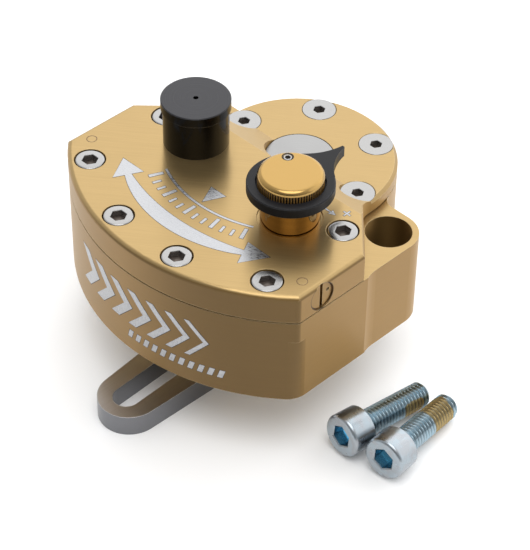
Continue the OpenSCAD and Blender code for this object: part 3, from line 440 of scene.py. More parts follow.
def black_finish(name, centre, colour, face, roughness, shine):
    """Black anodising whose turned faces are greyer than its walls."""
    gloss = {"Anisotropic": 0.4, "Specular_IOR_Level": shine}
    made = Finish(name, colour, NO_METAL, roughness, **gloss)
    speck = made.noise(made.point(), scale=9.0, detail=2.0)
    pattern = made.blend(0.5, made.rings(centre, density=5.0), speck)
    made.detail(pattern, relief=0.004, edge=0.12)
    flat = made.flatness()
    turned = made.times(flat, made.spread(pattern, 0.2, 0.8, to_low=FACE_LEAST))
    skin = made.tint(turned, colour, face)
    # Painted highlight along the sharp edges
    edge_highlight = made.painted_edge_highlight(share=0.6)
    made.put("Base Color", made.mix_colours(edge_highlight, skin, (*EDGE_HIGHLIGHT_BLACK, 1)))
    dull = made.blend(flat, roughness, roughness + FACE_DULL)
    made.put("Roughness", made.math("ADD", dull, made.vary(pattern, -BLACK_PLAY, BLACK_PLAY)))
    made.put("Tangent", made.round_tangent(centre))
    return made.material


def turned_steel(name, colour, centre, roughness):
    made = Finish(name, colour, METAL, roughness, Anisotropic=0.5)
    rings = made.rings(centre, density=5.0)
    made.detail(rings, tint=0.05, gloss=0.05, relief=0.015, edge=0.15)
    made.put("Tangent", made.round_tangent(centre))
    return made.material


# How fine the ground steel's grain and the engraver's passes are along each axis
GROUND_GRAIN = (5.0, 0.1, 5.0)
CUTTER_PASSES = (0.6, 5.0, 0.6)


def ground_steel(name, colour, face, roughness):
    """Steel whose level faces are painted lighter than its walls, which are painted darker: lit and
    shaded copies of one steel.
    """
    made = Finish(name, colour, METAL, roughness)
    grain = made.noise(made.stretch(made.point(), GROUND_GRAIN))
    cloud = made.noise(made.point(), scale=0.12)
    pattern = made.blend(0.35, grain, cloud)
    made.detail(pattern, gloss=0.025, relief=0.002, edge=0.2)
    shade = made.vary(pattern)
    wall = made.shades(shade, colour, depth=0.03)
    skin = made.mix_colours(made.flatness(), wall, made.shades(shade, face, depth=0.04))
    # Painted highlight along the sharp edges
    edge_highlight = made.painted_edge_highlight(share=0.8)
    made.put("Base Color", made.mix_colours(edge_highlight, skin, (*EDGE_HIGHLIGHT_STEEL, 1)))
    return made.material


def plain_metal(name, colour, roughness):
    made = Finish(name, colour, METAL, roughness)
    made.detail(made.noise(made.point(), scale=3.0), tint=0.05, gloss=0.06, edge=0.08)
    return made.material


def rubber():
    made = Finish("seal rubber", SEAL_BLACK, NO_METAL, roughness=0.6)
    made.detail(made.noise(made.point(), scale=4.0), tint=0.15, gloss=0.08)
    return made.material


def bright_cut():
    """Bare aluminium left by an engraving cutter."""
    made = Finish("bright cut", CUT_ALLOY, METAL, roughness=0.32)
    pass_marks = made.noise(made.stretch(made.point(), CUTTER_PASSES, turn=25.0))
    made.detail(pass_marks, tint=0.1, gloss=0.1, relief=0.08)
    return made.material


# Dark line finish: painted shade, and the dark lines at joints
def joint_and_shade_line(name, colour):
    made = Finish(name, colour, NO_METAL, roughness=0.5)
    made.detail(made.noise(made.point(), scale=2.0), tint=0.2)
    return made.material


SOCKET_METALLIC = 0.6


def screw_steel():
    """Bright head with painted shade inside its socket."""
    made = Finish("bright screw steel", STEEL, METAL, roughness=0.24)
    inside = made.mark("socket")
    made.detail(made.noise(made.point(), scale=0.4, detail=2.0), gloss=0.03)
    made.put("Base Color", made.tint(inside, STEEL, SOCKET_SHADE))
    made.put("Metallic", made.spread(inside, 0.0, 1.0, METAL, SOCKET_METALLIC))
    return made.material


# Zinc plating: how ragged the patch's border is and where it ends, how blue clouds and shank
# are, and how bright the painted highlight on the thread's crests and how dark the painted shade in
# its roots are
RAGGED = 0.9
PATCH_BORDER = (0.42, 0.58)
CLOUD_BLUE = 0.3
SHANK_BLUE = 0.7
CREST_HIGHLIGHT_SHARE = 0.4
ROOT_SHADE_SHARE = 0.6
# Share of a thread's depth where the crest ends and the root begins
CREST_END = 0.25
ROOT_START = 0.3
PLATE_ROUGHNESS = (0.25, 0.33)
SOCKET_ROUGHNESS = 0.13
PATCH_METALLIC = 0.7


def zinc_plate():
    """Blue zinc plating with painted shade in the socket, painted highlights on the thread's crests
    and painted shade in its roots, and a locking patch on the thread.
    """
    made = Finish("blue zinc plating", ZINC, METAL, roughness=0.26)
    inside = made.mark("socket")
    shank = made.mark("shank")
    groove = made.mark("groove")
    cloud = made.noise(made.point(), scale=0.35, detail=2.0)
    ragged = made.times(made.math("SUBTRACT", cloud, 0.5), RAGGED)
    patch = made.spread(made.math("ADD", made.mark("patch"), ragged), *PATCH_BORDER)
    clouds = made.spread(cloud, 0.35, 0.65, to_high=CLOUD_BLUE)
    blue = made.math("ADD", clouds, made.times(shank, SHANK_BLUE))
    plated = made.mix_colours(inside, made.tint(blue, ZINC, BLUE_ZINC), (*SOCKET_SHADE_BLUE, 1))
    skin = made.mix_colours(patch, plated, (*AMBER, 1))
    bare_shank = made.math("SUBTRACT", shank, patch)
    crest = made.times(made.spread(groove, 0.0, CREST_END, CREST_HIGHLIGHT_SHARE, 0.0), bare_shank)
    skin = made.mix_colours(crest, skin, (*CREST_HIGHLIGHT, 1))
    root = made.spread(groove, ROOT_START, 1.0, to_high=ROOT_SHADE_SHARE)
    made.put("Base Color", made.mix_colours(root, skin, (*THREAD_SHADE, 1)))
    dull = made.vary(made.noise(made.point(), scale=0.2, detail=2.0), *PLATE_ROUGHNESS)
    made.put("Roughness", made.blend(inside, dull, SOCKET_ROUGHNESS))
    made.put("Metallic", made.spread(patch, 0.0, 1.0, METAL, PATCH_METALLIC))
    return made.material


def dress(finish, *names):
    """Gives these solids a finish."""
    for name in names:
        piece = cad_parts[name]
        if not piece.material_slots:
            piece.data.materials.append(finish)
        for place in piece.material_slots:
            place.material = finish


GOLD_SKIN = brushed_gold()
BRIGHT_CUT = bright_cut()
PAINTED_SHADE = joint_and_shade_line("painted dark shade", PAINTED_SHADE_COLOUR)
BROWN_LINE = joint_and_shade_line("brown outline", BROWN_INK)
SCREW_STEEL = screw_steel()
ZINC_PLATE = zinc_plate()
SPRING_STEEL = plain_metal("spring steel", COIL_STEEL, roughness=0.3)
dress(
    GOLD_SKIN, "main_body", "top_cover", "oil_plugs", "sweep_screw_right", "sweep_screw_left"
)
dress(knob_gold(), "adjuster_knob")
dress(polished_gold("housing gold", HOUSING_GOLD, KNOB), "valve_housing")
dress(
    black_finish("black pointer", KNOB, POINTER_BLACK, POINTER_FACE, roughness=0.36, shine=0.2),
    "pointer_ring",
)
dress(
    black_finish("black anodised cap", TANK, CAP_BLACK, CAP_FACE, roughness=0.16, shine=0.3),
    "reservoir_cap",
)
dress(turned_steel("shaft steel", SHAFT_STEEL, SHAFT, roughness=0.36), "vane_shaft")
dress(ground_steel("arm steel", ARM_SHADE_STEEL, ARM_LIT_FACE, roughness=0.3), "link_arm")
PLAIN_STEEL = plain_metal("plain steel", GREY_STEEL, roughness=0.34)
dress(PLAIN_STEEL, "vane", "pinch_screw", "seal_clip")
dress(plain_metal("small bright steel", STEEL, roughness=0.22), "detent_ball")
BRIGHT_STEEL = plain_metal("inner bright steel", STEEL, roughness=0.25)
dress(BRIGHT_STEEL, "valve_needle", "reservoir_piston")
dress(plain_metal("bush bronze", BRONZE, roughness=0.35), "upper_bush", "lower_bush")
dress(
    rubber(),
    "chamber_seal",
    "vane_tip_seal",
    "upper_shaft_seal",
    "lower_shaft_seal",
    "housing_seal",
    "needle_seal",
    "cap_seal",
    "piston_seal",
    "sweep_seal_right",
    "sweep_seal_left",
)

# Shapes of the added pieces, in millimetres
SHARP_ANGLE = 28


def piece_from(builder, name, finish, body):
    """Object from a bmesh."""
    bmesh.ops.recalc_face_normals(builder, faces=builder.faces)
    mesh = bpy.data.meshes.new(name)
    builder.to_mesh(mesh)
    builder.free()
    mesh.transform(Matrix.Scale(MM, 4))
    mesh.polygons.foreach_set("use_smooth", [True] * len(mesh.polygons))
    mesh.set_sharp_from_angle(angle=math.radians(SHARP_ANGLE))
    made = bpy.data.objects.new(name, mesh)
    bpy.context.scene.collection.objects.link(made)
    made.data.materials.append(finish)
    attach(made, body)
    return made


def round_ring(radius):
    return lambda angle, z: radius


def hex_ring(width):
    """Radius of a hexagon of that width across its flats."""
    sixth = math.pi / 3
    return lambda angle, z: width / 2 / math.cos(angle % sixth - sixth / 2)


# How much steeper a thread's flanks are than those of a plain zigzag, which leaves flat roots
FLANK = 1.25


def thread_ring(outer, depth, pitch):
    """Radius of a right-handed thread."""

    def radius(angle, z):
        step = (z / pitch - angle / math.tau) % 1
        return outer - depth * min(1.0, FLANK * (1 - abs(2 * step - 1)))

    return radius


def value_layer(builder, name):
    """Layer with one number for each vertex."""
    layers = builder.verts.layers.float
    return layers.get(name) or layers.new(name)


def join_rings(builder, rings):
    """Faces between each two rings of vertices that follow each other."""
    for low, high in zip(rings, rings[1:]):
        for i in range(len(low)):
            j = (i + 1) % len(low)
            builder.faces.new((low[i], low[j], high[j], high[i]))


def turn_up(builder, rings, place, sides, marks):
    """Closed surface through rings of (radius, z); marks gives each vertex the mesh's values."""
    layers = {key: value_layer(builder, key) for key in marks}

    def point(radius, angle, z, index):
        flat = Vector((radius * math.cos(angle), radius * math.sin(angle), z))
        vertex = builder.verts.new(place @ flat)
        for key, layer in layers.items():
            vertex[layer] = marks[key](index, angle, z)
        return vertex

    turns = [math.tau * i / sides for i in range(sides)]
    grid = []
    for index, (radius, z) in enumerate(rings):
        grid.append([point(radius(angle, z), angle, z, index) for angle in turns])
    join_rings(builder, grid)
    for ring, index in ((grid[0], 0), (grid[-1], len(rings) - 1)):
        middle = point(0, 0, rings[index][1], index)
        for i in range(sides):
            builder.faces.new((ring[i], ring[(i + 1) % sides], middle))


# Drilled floor of a socket: shares of its width at the edge and the point, and its depth
DRILL_EDGE = 0.25
DRILL_POINT = 0.05
DRILL_DEPTH = 0.3
# Rings of a socket that belong to its mouth
MOUTH_RINGS = 2


def socket_rings(width, top, depth, broken):
    """Hexagon socket from its broken edge down to its drilled floor."""
    return [
        (hex_ring(width + 2 * broken), top),
        (hex_ring(width), top - broken),
        (hex_ring(width), top - depth),
        (round_ring(DRILL_EDGE * width), top - depth),
        (round_ring(DRILL_POINT * width), top - depth - DRILL_DEPTH),
    ]


def socket_mark(first):
    """One in the socket whose rings begin at first, none elsewhere."""
    return lambda index, angle, z: 1.0 if index >= first + MOUTH_RINGS else 0.0


def edge_rings(radius, top, rounding, steps):
    """Rounded top edge."""
    rings = []
    for i in range(steps + 1):
        turn = math.pi / 2 * i / steps
        reach = radius - rounding + rounding * math.cos(turn)
        rings.append((round_ring(reach), top - rounding + rounding * math.sin(turn)))
    return rings


# Cover screws: sockets across their flats, shank, and what is broken off the tip
SCREW_SIDES = 72
CAP_HEX = 4.2
FLAT_HEX = 3.2
SOCKET_DEPTH = 2.2
SOCKET_BREAK = 0.12
SHANK_R = 2.5
TIP_BREAK = 0.6
# Cap heads: height, rounding of the edge, and how far they fill the gap to their seats
CAP_HEAD_H = 5
CAP_ROUNDING = 0.5
CAP_STEPS = 4
HEAD_GROW = 0.14
# Countersunk heads: upright rim and its broken edge
FLAT_RIM = 0.25
FLAT_BREAK = 0.08


def shank_rings(low, end):
    return [
        (round_ring(SHANK_R - TIP_BREAK), low.z),
        (round_ring(SHANK_R), low.z + TIP_BREAK),
        (round_ring(SHANK_R), end),
    ]


def cap_screw_outer(low, high):
    """Rings of a cap screw from its tip to its head."""
    head_r = (high.x - low.x) / 2 + HEAD_GROW
    seat = high.z - CAP_HEAD_H
    head = [(round_ring(head_r), seat)] + edge_rings(head_r, high.z, CAP_ROUNDING, CAP_STEPS)
    return shank_rings(low, seat) + head


def flat_screw_outer(low, high):
    """Rings of a countersunk screw from its tip to its head."""
    head_r = (high.x - low.x) / 2
    cone = high.z - FLAT_RIM - (head_r - SHANK_R)
    head = [
        (round_ring(head_r), high.z - FLAT_RIM),
        (round_ring(head_r), high.z - FLAT_BREAK),
        (round_ring(head_r - FLAT_BREAK), high.z),
    ]
    return shank_rings(low, cone) + head


def cover_screws(name, outer_rings, width):
    """All screws of a node, each in the box of its solid."""
    builder = bmesh.new()
    for low, high in clusters(name):
        outer = outer_rings(low, high)
        rings = outer + socket_rings(width, high.z, SOCKET_DEPTH, SOCKET_BREAK)
        place = Matrix.Translation(middle_of(low, high))
        turn_up(builder, rings, place, SCREW_SIDES, {"socket": socket_mark(len(outer))})
    made = piece_from(builder, name + "_detailed", SCREW_STEEL, "damper")
    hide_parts(name)


# Loose mounting bolts: place of the head's seat on the floor and heading of the shank, in degrees
BOLTS = {"front": (57.7, -30.0, 85.7), "rear": (70.8, -27.9, 96.4)}
BOLT_SIDES = 60
BOLT_R = 4.0
BOLT_L = 25.0
BOLT_PITCH = 1.25
BOLT_DEPTH = 0.5 * BOLT_PITCH
BOLT_PLAIN = 1.4
# Tip: how much smaller its face and its edge are than the shank, and where the thread starts
TIP_FACE = 1.3
TIP_EDGE = 0.7
THREAD_START = 1.2
THREAD_STEPS = 8
THREAD_END = 0.3
NECK = 0.4
# Head: its sizes, its lower and upper edges, and its socket
BOLT_HEAD_R = 6.5
BOLT_HEAD_H = 8.0
HEAD_BREAK = 0.2
HEAD_ROUNDING = 1.2
HEAD_STEPS = 6
BOLT_HEX = 6.0
BOLT_SOCKET_DEPTH = 4.0
BOLT_SOCKET_BREAK = 0.35
# Locking patch: its ends below the head, the middle of its angle about the shank from the top,
# and half that angle
PATCHES = {"front": (14.5, 21.5, 255, 55), "rear": (13.2, 22.2, 0, 180)}
# How it fades: share a millimetre along the shank, and degrees about it
PATCH_FADE = 0.6
PATCH_TURN = 25


def share(value):
    """The value kept between none and one."""
    return min(1.0, max(0.0, value))


def bolt_place(key):
    """Rests the bolt's head and tip on the floor, with the shank along its heading."""
    x, y, heading = BOLTS[key]
    tilt = math.atan((BOLT_HEAD_R - BOLT_R) / BOLT_L)
    place = Matrix.Translation((x, y, FLOOR_Z))
    place = place @ Matrix.Rotation(math.radians(heading), 4, "Z")
    place = place @ Matrix.Rotation(tilt, 4, "Y")
    place = place @ Matrix.Translation((0, 0, BOLT_HEAD_R))
    return place @ Matrix.Rotation(-math.pi / 2, 4, "Y")


def patch_mark(key):
    """One on the locking patch of a bolt, fading at its borders."""
    near, far, middle, half = PATCHES[key]

    def patch(index, angle, z):
        along = share(0.5 + PATCH_FADE * min(-z - near, far + z))
        if half >= 180:
            return along
        off = abs((math.degrees(angle) - middle + 180) % 360 - 180)
        return along * share((half - off) / PATCH_TURN + 0.5)

    return patch


def mounting_bolt(key):
    """Bolt from its tip to its socket, with its head's seat at the height of none."""
    thread = thread_ring(BOLT_R, BOLT_DEPTH, BOLT_PITCH)
    steps = int((BOLT_L - BOLT_PLAIN - THREAD_START) / BOLT_PITCH * THREAD_STEPS)
    tip = [
        (round_ring(BOLT_R - TIP_FACE), -BOLT_L),
        (round_ring(BOLT_R - TIP_EDGE), -BOLT_L + TIP_EDGE),
    ]
    rise = BOLT_PITCH / THREAD_STEPS
    threaded = [(thread, -BOLT_L + THREAD_START + i * rise) for i in range(steps + 1)]
    neck = [
        (round_ring(BOLT_R), -BOLT_PLAIN + THREAD_END),
        (round_ring(BOLT_R), -NECK),
        (round_ring(BOLT_R + NECK), 0),
    ]
    head = [(round_ring(BOLT_HEAD_R - HEAD_BREAK), 0), (round_ring(BOLT_HEAD_R), HEAD_BREAK)]
    head += edge_rings(BOLT_HEAD_R, BOLT_HEAD_H, HEAD_ROUNDING, HEAD_STEPS)
    outer = tip + threaded + neck + head
    socket = socket_rings(BOLT_HEX, BOLT_HEAD_H, BOLT_SOCKET_DEPTH, BOLT_SOCKET_BREAK)
    thread_end = len(tip) + len(threaded)

    def groove(index, angle, z):
        on_thread = len(tip) <= index < thread_end
        return (BOLT_R - thread(angle, z)) / BOLT_DEPTH if on_thread else 0.0

    marks = {
        "socket": socket_mark(len(outer)),
        "patch": patch_mark(key),
        "shank": lambda index, angle, z: 1.0 if index < thread_end else 0.0,
        "groove": groove,
    }
    builder = bmesh.new()
    turn_up(builder, outer + socket, bolt_place(key), BOLT_SIDES, marks)
    name = f"mounting_bolt_{key}"
    made = piece_from(builder, name + "_detailed", ZINC_PLATE, f"bolt_{key}")
    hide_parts(name)


# Springs: the joint and the travel by which it would shorten each, both unused here, the body
# at its fixed upper end, its wire and its curls
SPRINGS = {
    "reservoir_spring": ("piston_travel", 4.0, "damper", 1.0, 5),
    "detent_spring": ("detent_click", 0.4, "knob", 0.3, 2),
}
CURL_STEPS = 48
WIRE_SIDES = 12


def spring(name):
    """Smooth helical spring in the box of its solid."""
    joint, travel, body, wire, curls = SPRINGS[name]
    low, high = corners(name)
    middle = axis_of(name)
    height = high.z - low.z
    mean_r = (high.x - low.x - wire) / 2
    steps = curls * CURL_STEPS
    builder = bmesh.new()
    rings = []
    for i in range(steps + 1):
        turn = math.tau * i / CURL_STEPS
        z = low.z + wire / 2 + (height - wire) * i / steps
        ring = []
        for j in range(WIRE_SIDES):
            round_wire = math.tau * j / WIRE_SIDES
            reach = mean_r + wire / 2 * math.cos(round_wire)
            rise = z + wire / 2 * math.sin(round_wire)
            place = Vector((reach * math.cos(turn), reach * math.sin(turn), rise))
            ring.append(builder.verts.new(middle + place))
        rings.append(ring)
    join_rings(builder, rings)
    builder.faces.new(rings[0])
    builder.faces.new(rings[-1])
    made = piece_from(builder, name + "_coil", SPRING_STEEL, body)
    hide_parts(name)
    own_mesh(made)


# Engraved marks: thin plates on the cover's top and on the curved front
MARK_LIFT = 0.03
LINE_LIFT = 0.015
# Width of the painted shadow round an engraved mark
LINE_W = 0.14
FRONT_SLICES = 1.5


def plate(name, outlines, lift, onto, finish, slices=None, body="damper"):
    """Closed thin plate over each outline, laid onto a surface by a function of (u, v, height)."""
    builder = bmesh.new()
    for outline in outlines:
        builder.faces.new([builder.verts.new((u, v, 0)) for u, v in outline])
    if slices:
        cut_up(builder, slices)
    raised = bmesh.ops.extrude_face_region(builder, geom=builder.faces[:], use_keep_orig=True)
    for item in raised["geom"]:
        if isinstance(item, bmesh.types.BMVert):
            item.co.z = lift
    for vertex in builder.verts:
        vertex.co = onto(*vertex.co)
    return piece_from(builder, name, finish, body)


def cut_up(builder, width):
    """Cuts flat faces into slices of about that width, so that they can bend."""
    us = [vertex.co.x for vertex in builder.verts]
    left = min(us)
    length = max(us) - left
    count = int(length / width)
    for i in range(1, count):
        cut = (left + length * i / count, 0, 0)
        everything = builder.verts[:] + builder.edges[:] + builder.faces[:]
        bmesh.ops.bisect_plane(builder, geom=everything, plane_co=cut, plane_no=(1, 0, 0))


def engrave(name, shapes, onto, slices=None):
    """Bright mark with a fine painted shadow round it, as of the engraving's edge; shapes gives the
    outlines grown by a margin.
    """
    plate(name, shapes(0.0), MARK_LIFT, onto, BRIGHT_CUT, slices)
    outline = shapes(LINE_W)
    plate(name + "_painted_shadow", outline, LINE_LIFT, onto, PAINTED_SHADE, slices)


def on_cover(u, v, height):
    return Vector((SHAFT.x + u, SHAFT.y + v, COVER_TOP + height))


def on_front(u, v, height):
    """u runs along the front from its middle to the right, v up from the mounting face."""
    angle = u / FRONT_R
    radius = FRONT_R + height
    return Vector((SHAFT.x + radius * math.sin(angle), SHAFT.y - radius * math.cos(angle), v))


def polar(radius, angle):
    turn = math.radians(angle)
    return (radius * math.sin(turn), -radius * math.cos(turn))


def arc(radius, start, end, steps=40):
    """radius is a number or a function of the angle."""
    angles = [start + (end - start) * i / steps for i in range(steps + 1)]
    return [polar(radius(a) if callable(radius) else radius, a) for a in angles]


# Swing arrow: radius of its middle line, the angles from the middle to its heads and along them
ARROW_R = 52.0
ARROW_REACH = 27.0
ARROW_HEAD = 8.5
# Half its width at the middle, how much of that its ends lose, and half the heads' width
ARROW_HALF = 2.5
ARROW_TAPER = 1.5
HEAD_HALF = 4.6
# How much more than its sides the arrow's tip grows in the outline
TIP_GROW = 2.2


def swing_arrow(grow):
    """Double-headed arrow about the shaft, thick in the middle."""
    head = HEAD_HALF + grow
    tip = ARROW_REACH + ARROW_HEAD + math.degrees(TIP_GROW * grow / ARROW_R)
    back = ARROW_REACH - math.degrees(grow / ARROW_R)

    def half(angle):
        return ARROW_HALF - ARROW_TAPER * (angle / ARROW_REACH) ** 2 + grow

    outline = arc(lambda angle: ARROW_R + half(angle), -back, back)
    outline += [polar(ARROW_R + head, back), polar(ARROW_R, tip), polar(ARROW_R - head, back)]
    outline += arc(lambda angle: ARROW_R - half(angle), back, -back)
    outline += [polar(ARROW_R - head, -back), polar(ARROW_R, -tip), polar(ARROW_R + head, -back)]
    return outline


# Scale inside the arrow: angle between its marks, marks on each side, and every how many a long one
SCALE_STEP = 4.0
SCALE_SIDE = 6
LONG_EVERY = 3
# Outer and middle radius of the marks, and inner radius and half width of long and short ones
SCALE_OUTER = 46.6
SCALE_R = 45
LONG_MARK = (42.2, 0.55)
SHORT_MARK = (44.0, 0.4)
# Line under the marks: its radii and half its angle
SCALE_LINE = (40.5, 41.2)
SCALE_REACH = 26
# Pointer on the scale: half its base, where base and tip lie, and how much more they grow
POINTER_HALF = 3.0
POINTER_BASE = -33.0
POINTER_TIP = -39.4
POINTER_HALF_GROW = 1.6
POINTER_TIP_GROW = 2


def swing_scale(grow):
    """Marks about the shaft over a curved line, with a pointer."""
    shapes = []
    for i in range(-SCALE_SIDE, SCALE_SIDE + 1):
        angle = SCALE_STEP * i
        inner, half = LONG_MARK if i % LONG_EVERY == 0 else SHORT_MARK
        turn = math.degrees((half + grow) / SCALE_R)
        outer_side = [polar(SCALE_OUTER + grow, angle + a) for a in (-turn, turn)]
        inner_side = [polar(inner - grow, angle + a) for a in (turn, -turn)]
        shapes.append(outer_side + inner_side)
    low, high = SCALE_LINE
    line = arc(high + grow, -SCALE_REACH, SCALE_REACH)
    shapes.append(line + arc(low - grow, SCALE_REACH, -SCALE_REACH))
    half = POINTER_HALF + POINTER_HALF_GROW * grow
    base = POINTER_BASE + grow
    tip = POINTER_TIP - POINTER_TIP_GROW * grow
    shapes.append([(-half, base), (half, base), (0, tip)])
    return shapes


def swing_mark(grow):
    return [swing_arrow(grow)] + swing_scale(grow)


# Chevrons on the front: count, left end, height of their middle, their height and their lean
CHEVRONS = 7
CHEVRON_LEFT = -25.0
CHEVRON_V = 16.5
CHEVRON_H = 13.0
CHEVRON_LEAN = 6.0
# Width of the first, how much narrower each next one is, the space between, and how much more
# than the outline they grow
CHEVRON_W = 4.4
CHEVRON_LESS = 0.45
CHEVRON_SPACE = 4.2
CHEVRON_GROW = 1.25
# Bars below them: count, left end, step, lower and upper edge, width and lean
BARS = 11
BAR_LEFT = -1.0
BAR_STEP = 3.1
BAR_LOW = 4.8
BAR_HIGH = 7.6
BAR_W = 1.6
BAR_LEAN = 0.9


def chevrons(grow):
    """Row of chevrons that grow finer to the right."""
    half = CHEVRON_H / 2 + grow
    lean = CHEVRON_LEAN * half / (CHEVRON_H / 2)
    low, high = CHEVRON_V - half, CHEVRON_V + half
    shapes = []
    place = CHEVRON_LEFT
    for i in range(CHEVRONS):
        width = CHEVRON_W - CHEVRON_LESS * i
        left = place - CHEVRON_GROW * grow
        right = place + width + CHEVRON_GROW * grow
        rising = [(left, low), (right, low), (right + lean, CHEVRON_V)]
        shapes.append(rising + [(right, high), (left, high), (left + lean, CHEVRON_V)])
        place += width + CHEVRON_SPACE
    return shapes


def slanted_bars(grow):
    """Row of short slanted bars."""
    low, high = BAR_LOW - grow, BAR_HIGH + grow
    shapes = []
    for i in range(BARS):
        left = BAR_LEFT + BAR_STEP * i - grow
        right = BAR_LEFT + BAR_STEP * i + BAR_W + grow
        lower = [(left, low), (right, low)]
        shapes.append(lower + [(right + BAR_LEAN, high), (left + BAR_LEAN, high)])
    return shapes


def front_mark(grow):
    return chevrons(grow) + slanted_bars(grow)


# Mark by the knob: half width of its lines, ends of the arrow's shaft, ends and half width of
# its head, and middle and half length of the plus sign
KNOB_LINE = 0.22
KNOB_ARROW_V = -16.4
KNOB_ARROW = (25.9, 28.6)
KNOB_HEAD = (28.3, 30.2)
KNOB_HEAD_HALF = 1.0
PLUS = (32.0, -13.6)
PLUS_ARM = 1.3


def bar(start, end, half, grow):
    """Straight line of that half width, longer by grow at both ends."""
    first, last = Vector(start), Vector(end)
    direction = (last - first).normalized()
    along = direction * grow
    side = Vector((-direction.y, direction.x)) * half
    ends = (first - along, last + along)
    outline = (ends[0] - side, ends[1] - side, ends[1] + side, ends[0] + side)
    return [tuple(point) for point in outline]


def knob_mark(grow):
    """Arrow round the knob with a plus sign at its end."""
    half = KNOB_LINE + grow
    back, tip = KNOB_HEAD[0] - grow, KNOB_HEAD[1] + 2 * grow
    wing = KNOB_HEAD_HALF + grow
    head = [(back, KNOB_ARROW_V + wing), (back, KNOB_ARROW_V - wing), (tip, KNOB_ARROW_V)]
    u, v = PLUS
    lines = [
        ((u - PLUS_ARM, v), (u + PLUS_ARM, v)),
        ((u, v + half), (u, v + PLUS_ARM)),
        ((u, v - PLUS_ARM), (u, v - half)),
    ]
    shaft = [(end, KNOB_ARROW_V) for end in KNOB_ARROW]
    return [bar(*shaft, half, grow), head] + [bar(*line, half, grow) for line in lines]


RING_STEPS = 24
# Line round each plug in the cover
PLUG_LINE = 0.18
# Recess round the valve housing and how deep in it the groove's floor lies
RECESS_R = 9.4
GAP_DEPTH = 0.4
# Sweep screws: dark edge of the face, its inset and the angle it leaves free at the slot, and
# depth of the index hole
SWEEP_EDGE = 0.28
SWEEP_INSET = 0.02
SWEEP_SLOT = 9.0
SWEEP_DOT_DEPTH = 0.4
SAME_DEPTH = 0.02
# Set screw: its edges, its socket, the gap to its hole and the bevel at the hole's mouth
SET_TIP = 0.2
SET_EDGE = 0.14
SET_HEX = 1.5
SET_DEPTH = 1.1
SET_BREAK = 0.05
SET_CLEAR = 0.05
SET_BEVEL = 0.4
BEVEL_SHARE = 0.75


def half_rings(inner, outer, centre=(0, 0), gap=0.0):
    """Two halves of a flat ring, parted by a gap at the top and the bottom."""
    halves = []
    for start in (-90, 90):
        reach = 180 - 2 * gap
        angles = [start + gap + reach * i / RING_STEPS for i in range(RING_STEPS + 1)]
        outline = []
        for radius, path in ((outer, angles), (inner, reversed(angles))):
            for turn in map(math.radians, path):
                u = centre[0] + radius * math.cos(turn)
                v = centre[1] + radius * math.sin(turn)
                outline.append((u, v))
        halves.append(outline)
    return halves


def plug_lines():
    """Fine brown line round each plug in the cover."""
    outlines = []
    for low, high in clusters("oil_plugs"):
        centre = middle_of(low, high) - SHAFT
        radius = (high.x - low.x) / 2
        outlines += half_rings(radius, radius + PLUG_LINE, centre)
    plate("plug_lines", outlines, LINE_LIFT, on_cover, BROWN_LINE)


def housing_gap():
    """Floor of the narrow groove round the valve housing."""
    low, high = corners("valve_housing")
    stem_r = (high.x - low.x) / 2

    def onto(u, v, height):
        return Vector((KNOB.x + u, KNOB.y + v, COVER_TOP - GAP_DEPTH + height))

    outlines = half_rings(stem_r, RECESS_R)
    plate("housing_gap_shade", outlines, LINE_LIFT, onto, GOLD_SKIN)


def sweep_marks(side, key):
    """Dark edge round a sweep screw's face and painted shade on the floor of its index hole."""
    name = f"sweep_screw_{key}"
    body = f"sweep_{key}"
    low, high = corners(name)
    face = high.x if side > 0 else -low.x
    floor = face - SWEEP_DOT_DEPTH
    middle = Vector(((low.y + high.y) / 2, (low.z + high.z) / 2))
    radius = (high.y - low.y) / 2
    points = [vertex.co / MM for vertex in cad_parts[name].data.vertices]
    rim = [p.yz for p in points if abs(side * p.x - floor) < SAME_DEPTH]
    spot = sum(rim, Vector((0, 0))) / len(rim)
    spot_r = max((point - spot).length for point in rim)

    def onto_face(u, v, height):
        return Vector((side * (face + height), middle.x + u, middle.y + v))

    def onto_floor(u, v, height):
        return Vector((side * (floor + height), spot.x + u, spot.y + v))

    turns = [math.tau * i / RING_STEPS for i in range(RING_STEPS)]
    disc = [(spot_r * math.cos(turn), spot_r * math.sin(turn)) for turn in turns]
    edge = half_rings(radius - SWEEP_EDGE, radius - SWEEP_INSET, gap=SWEEP_SLOT)
    for mark, outlines, onto, finish in (
        (f"sweep_edge_{key}", edge, onto_face, BROWN_LINE),
        (f"sweep_hole_shade_{key}", [disc], onto_floor, PAINTED_SHADE),
    ):
        plate(mark, outlines, LINE_LIFT, onto, finish, body=body)


def knob_set_screw():
    """Set screw in the knob, and painted shade on the bevel at the mouth of its hole."""
    low, high = corners("knob_set_screw")
    radius = (high.x - low.x) / 2
    middle = axis_of("knob_set_screw")
    outer = [
        (round_ring(radius - SET_TIP), low.z),
        (round_ring(radius), low.z + SET_TIP),
        (round_ring(radius), high.z - SET_EDGE),
        (round_ring(radius - SET_EDGE), high.z),
    ]
    rings = outer + socket_rings(SET_HEX, high.z, SET_DEPTH, SET_BREAK)
    builder = bmesh.new()
    place = Matrix.Translation(middle)
    turn_up(builder, rings, place, SCREW_SIDES, {"socket": socket_mark(len(outer))})
    made = piece_from(builder, "knob_set_screw_detailed", SCREW_STEEL, "knob")
    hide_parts("knob_set_screw")
    mouth_r = radius + SET_CLEAR + SET_BEVEL

    def onto(u, v, height):
        depth = mouth_r - math.hypot(u, v)
        return Vector((middle.x + u, middle.y + v, CROWN_Z - depth + height))

    outlines = half_rings(mouth_r - BEVEL_SHARE * SET_BEVEL, mouth_r - 2 * LINE_LIFT)
    plate("set_screw_bevel_shade", outlines, LINE_LIFT, onto, PAINTED_SHADE, body="knob")


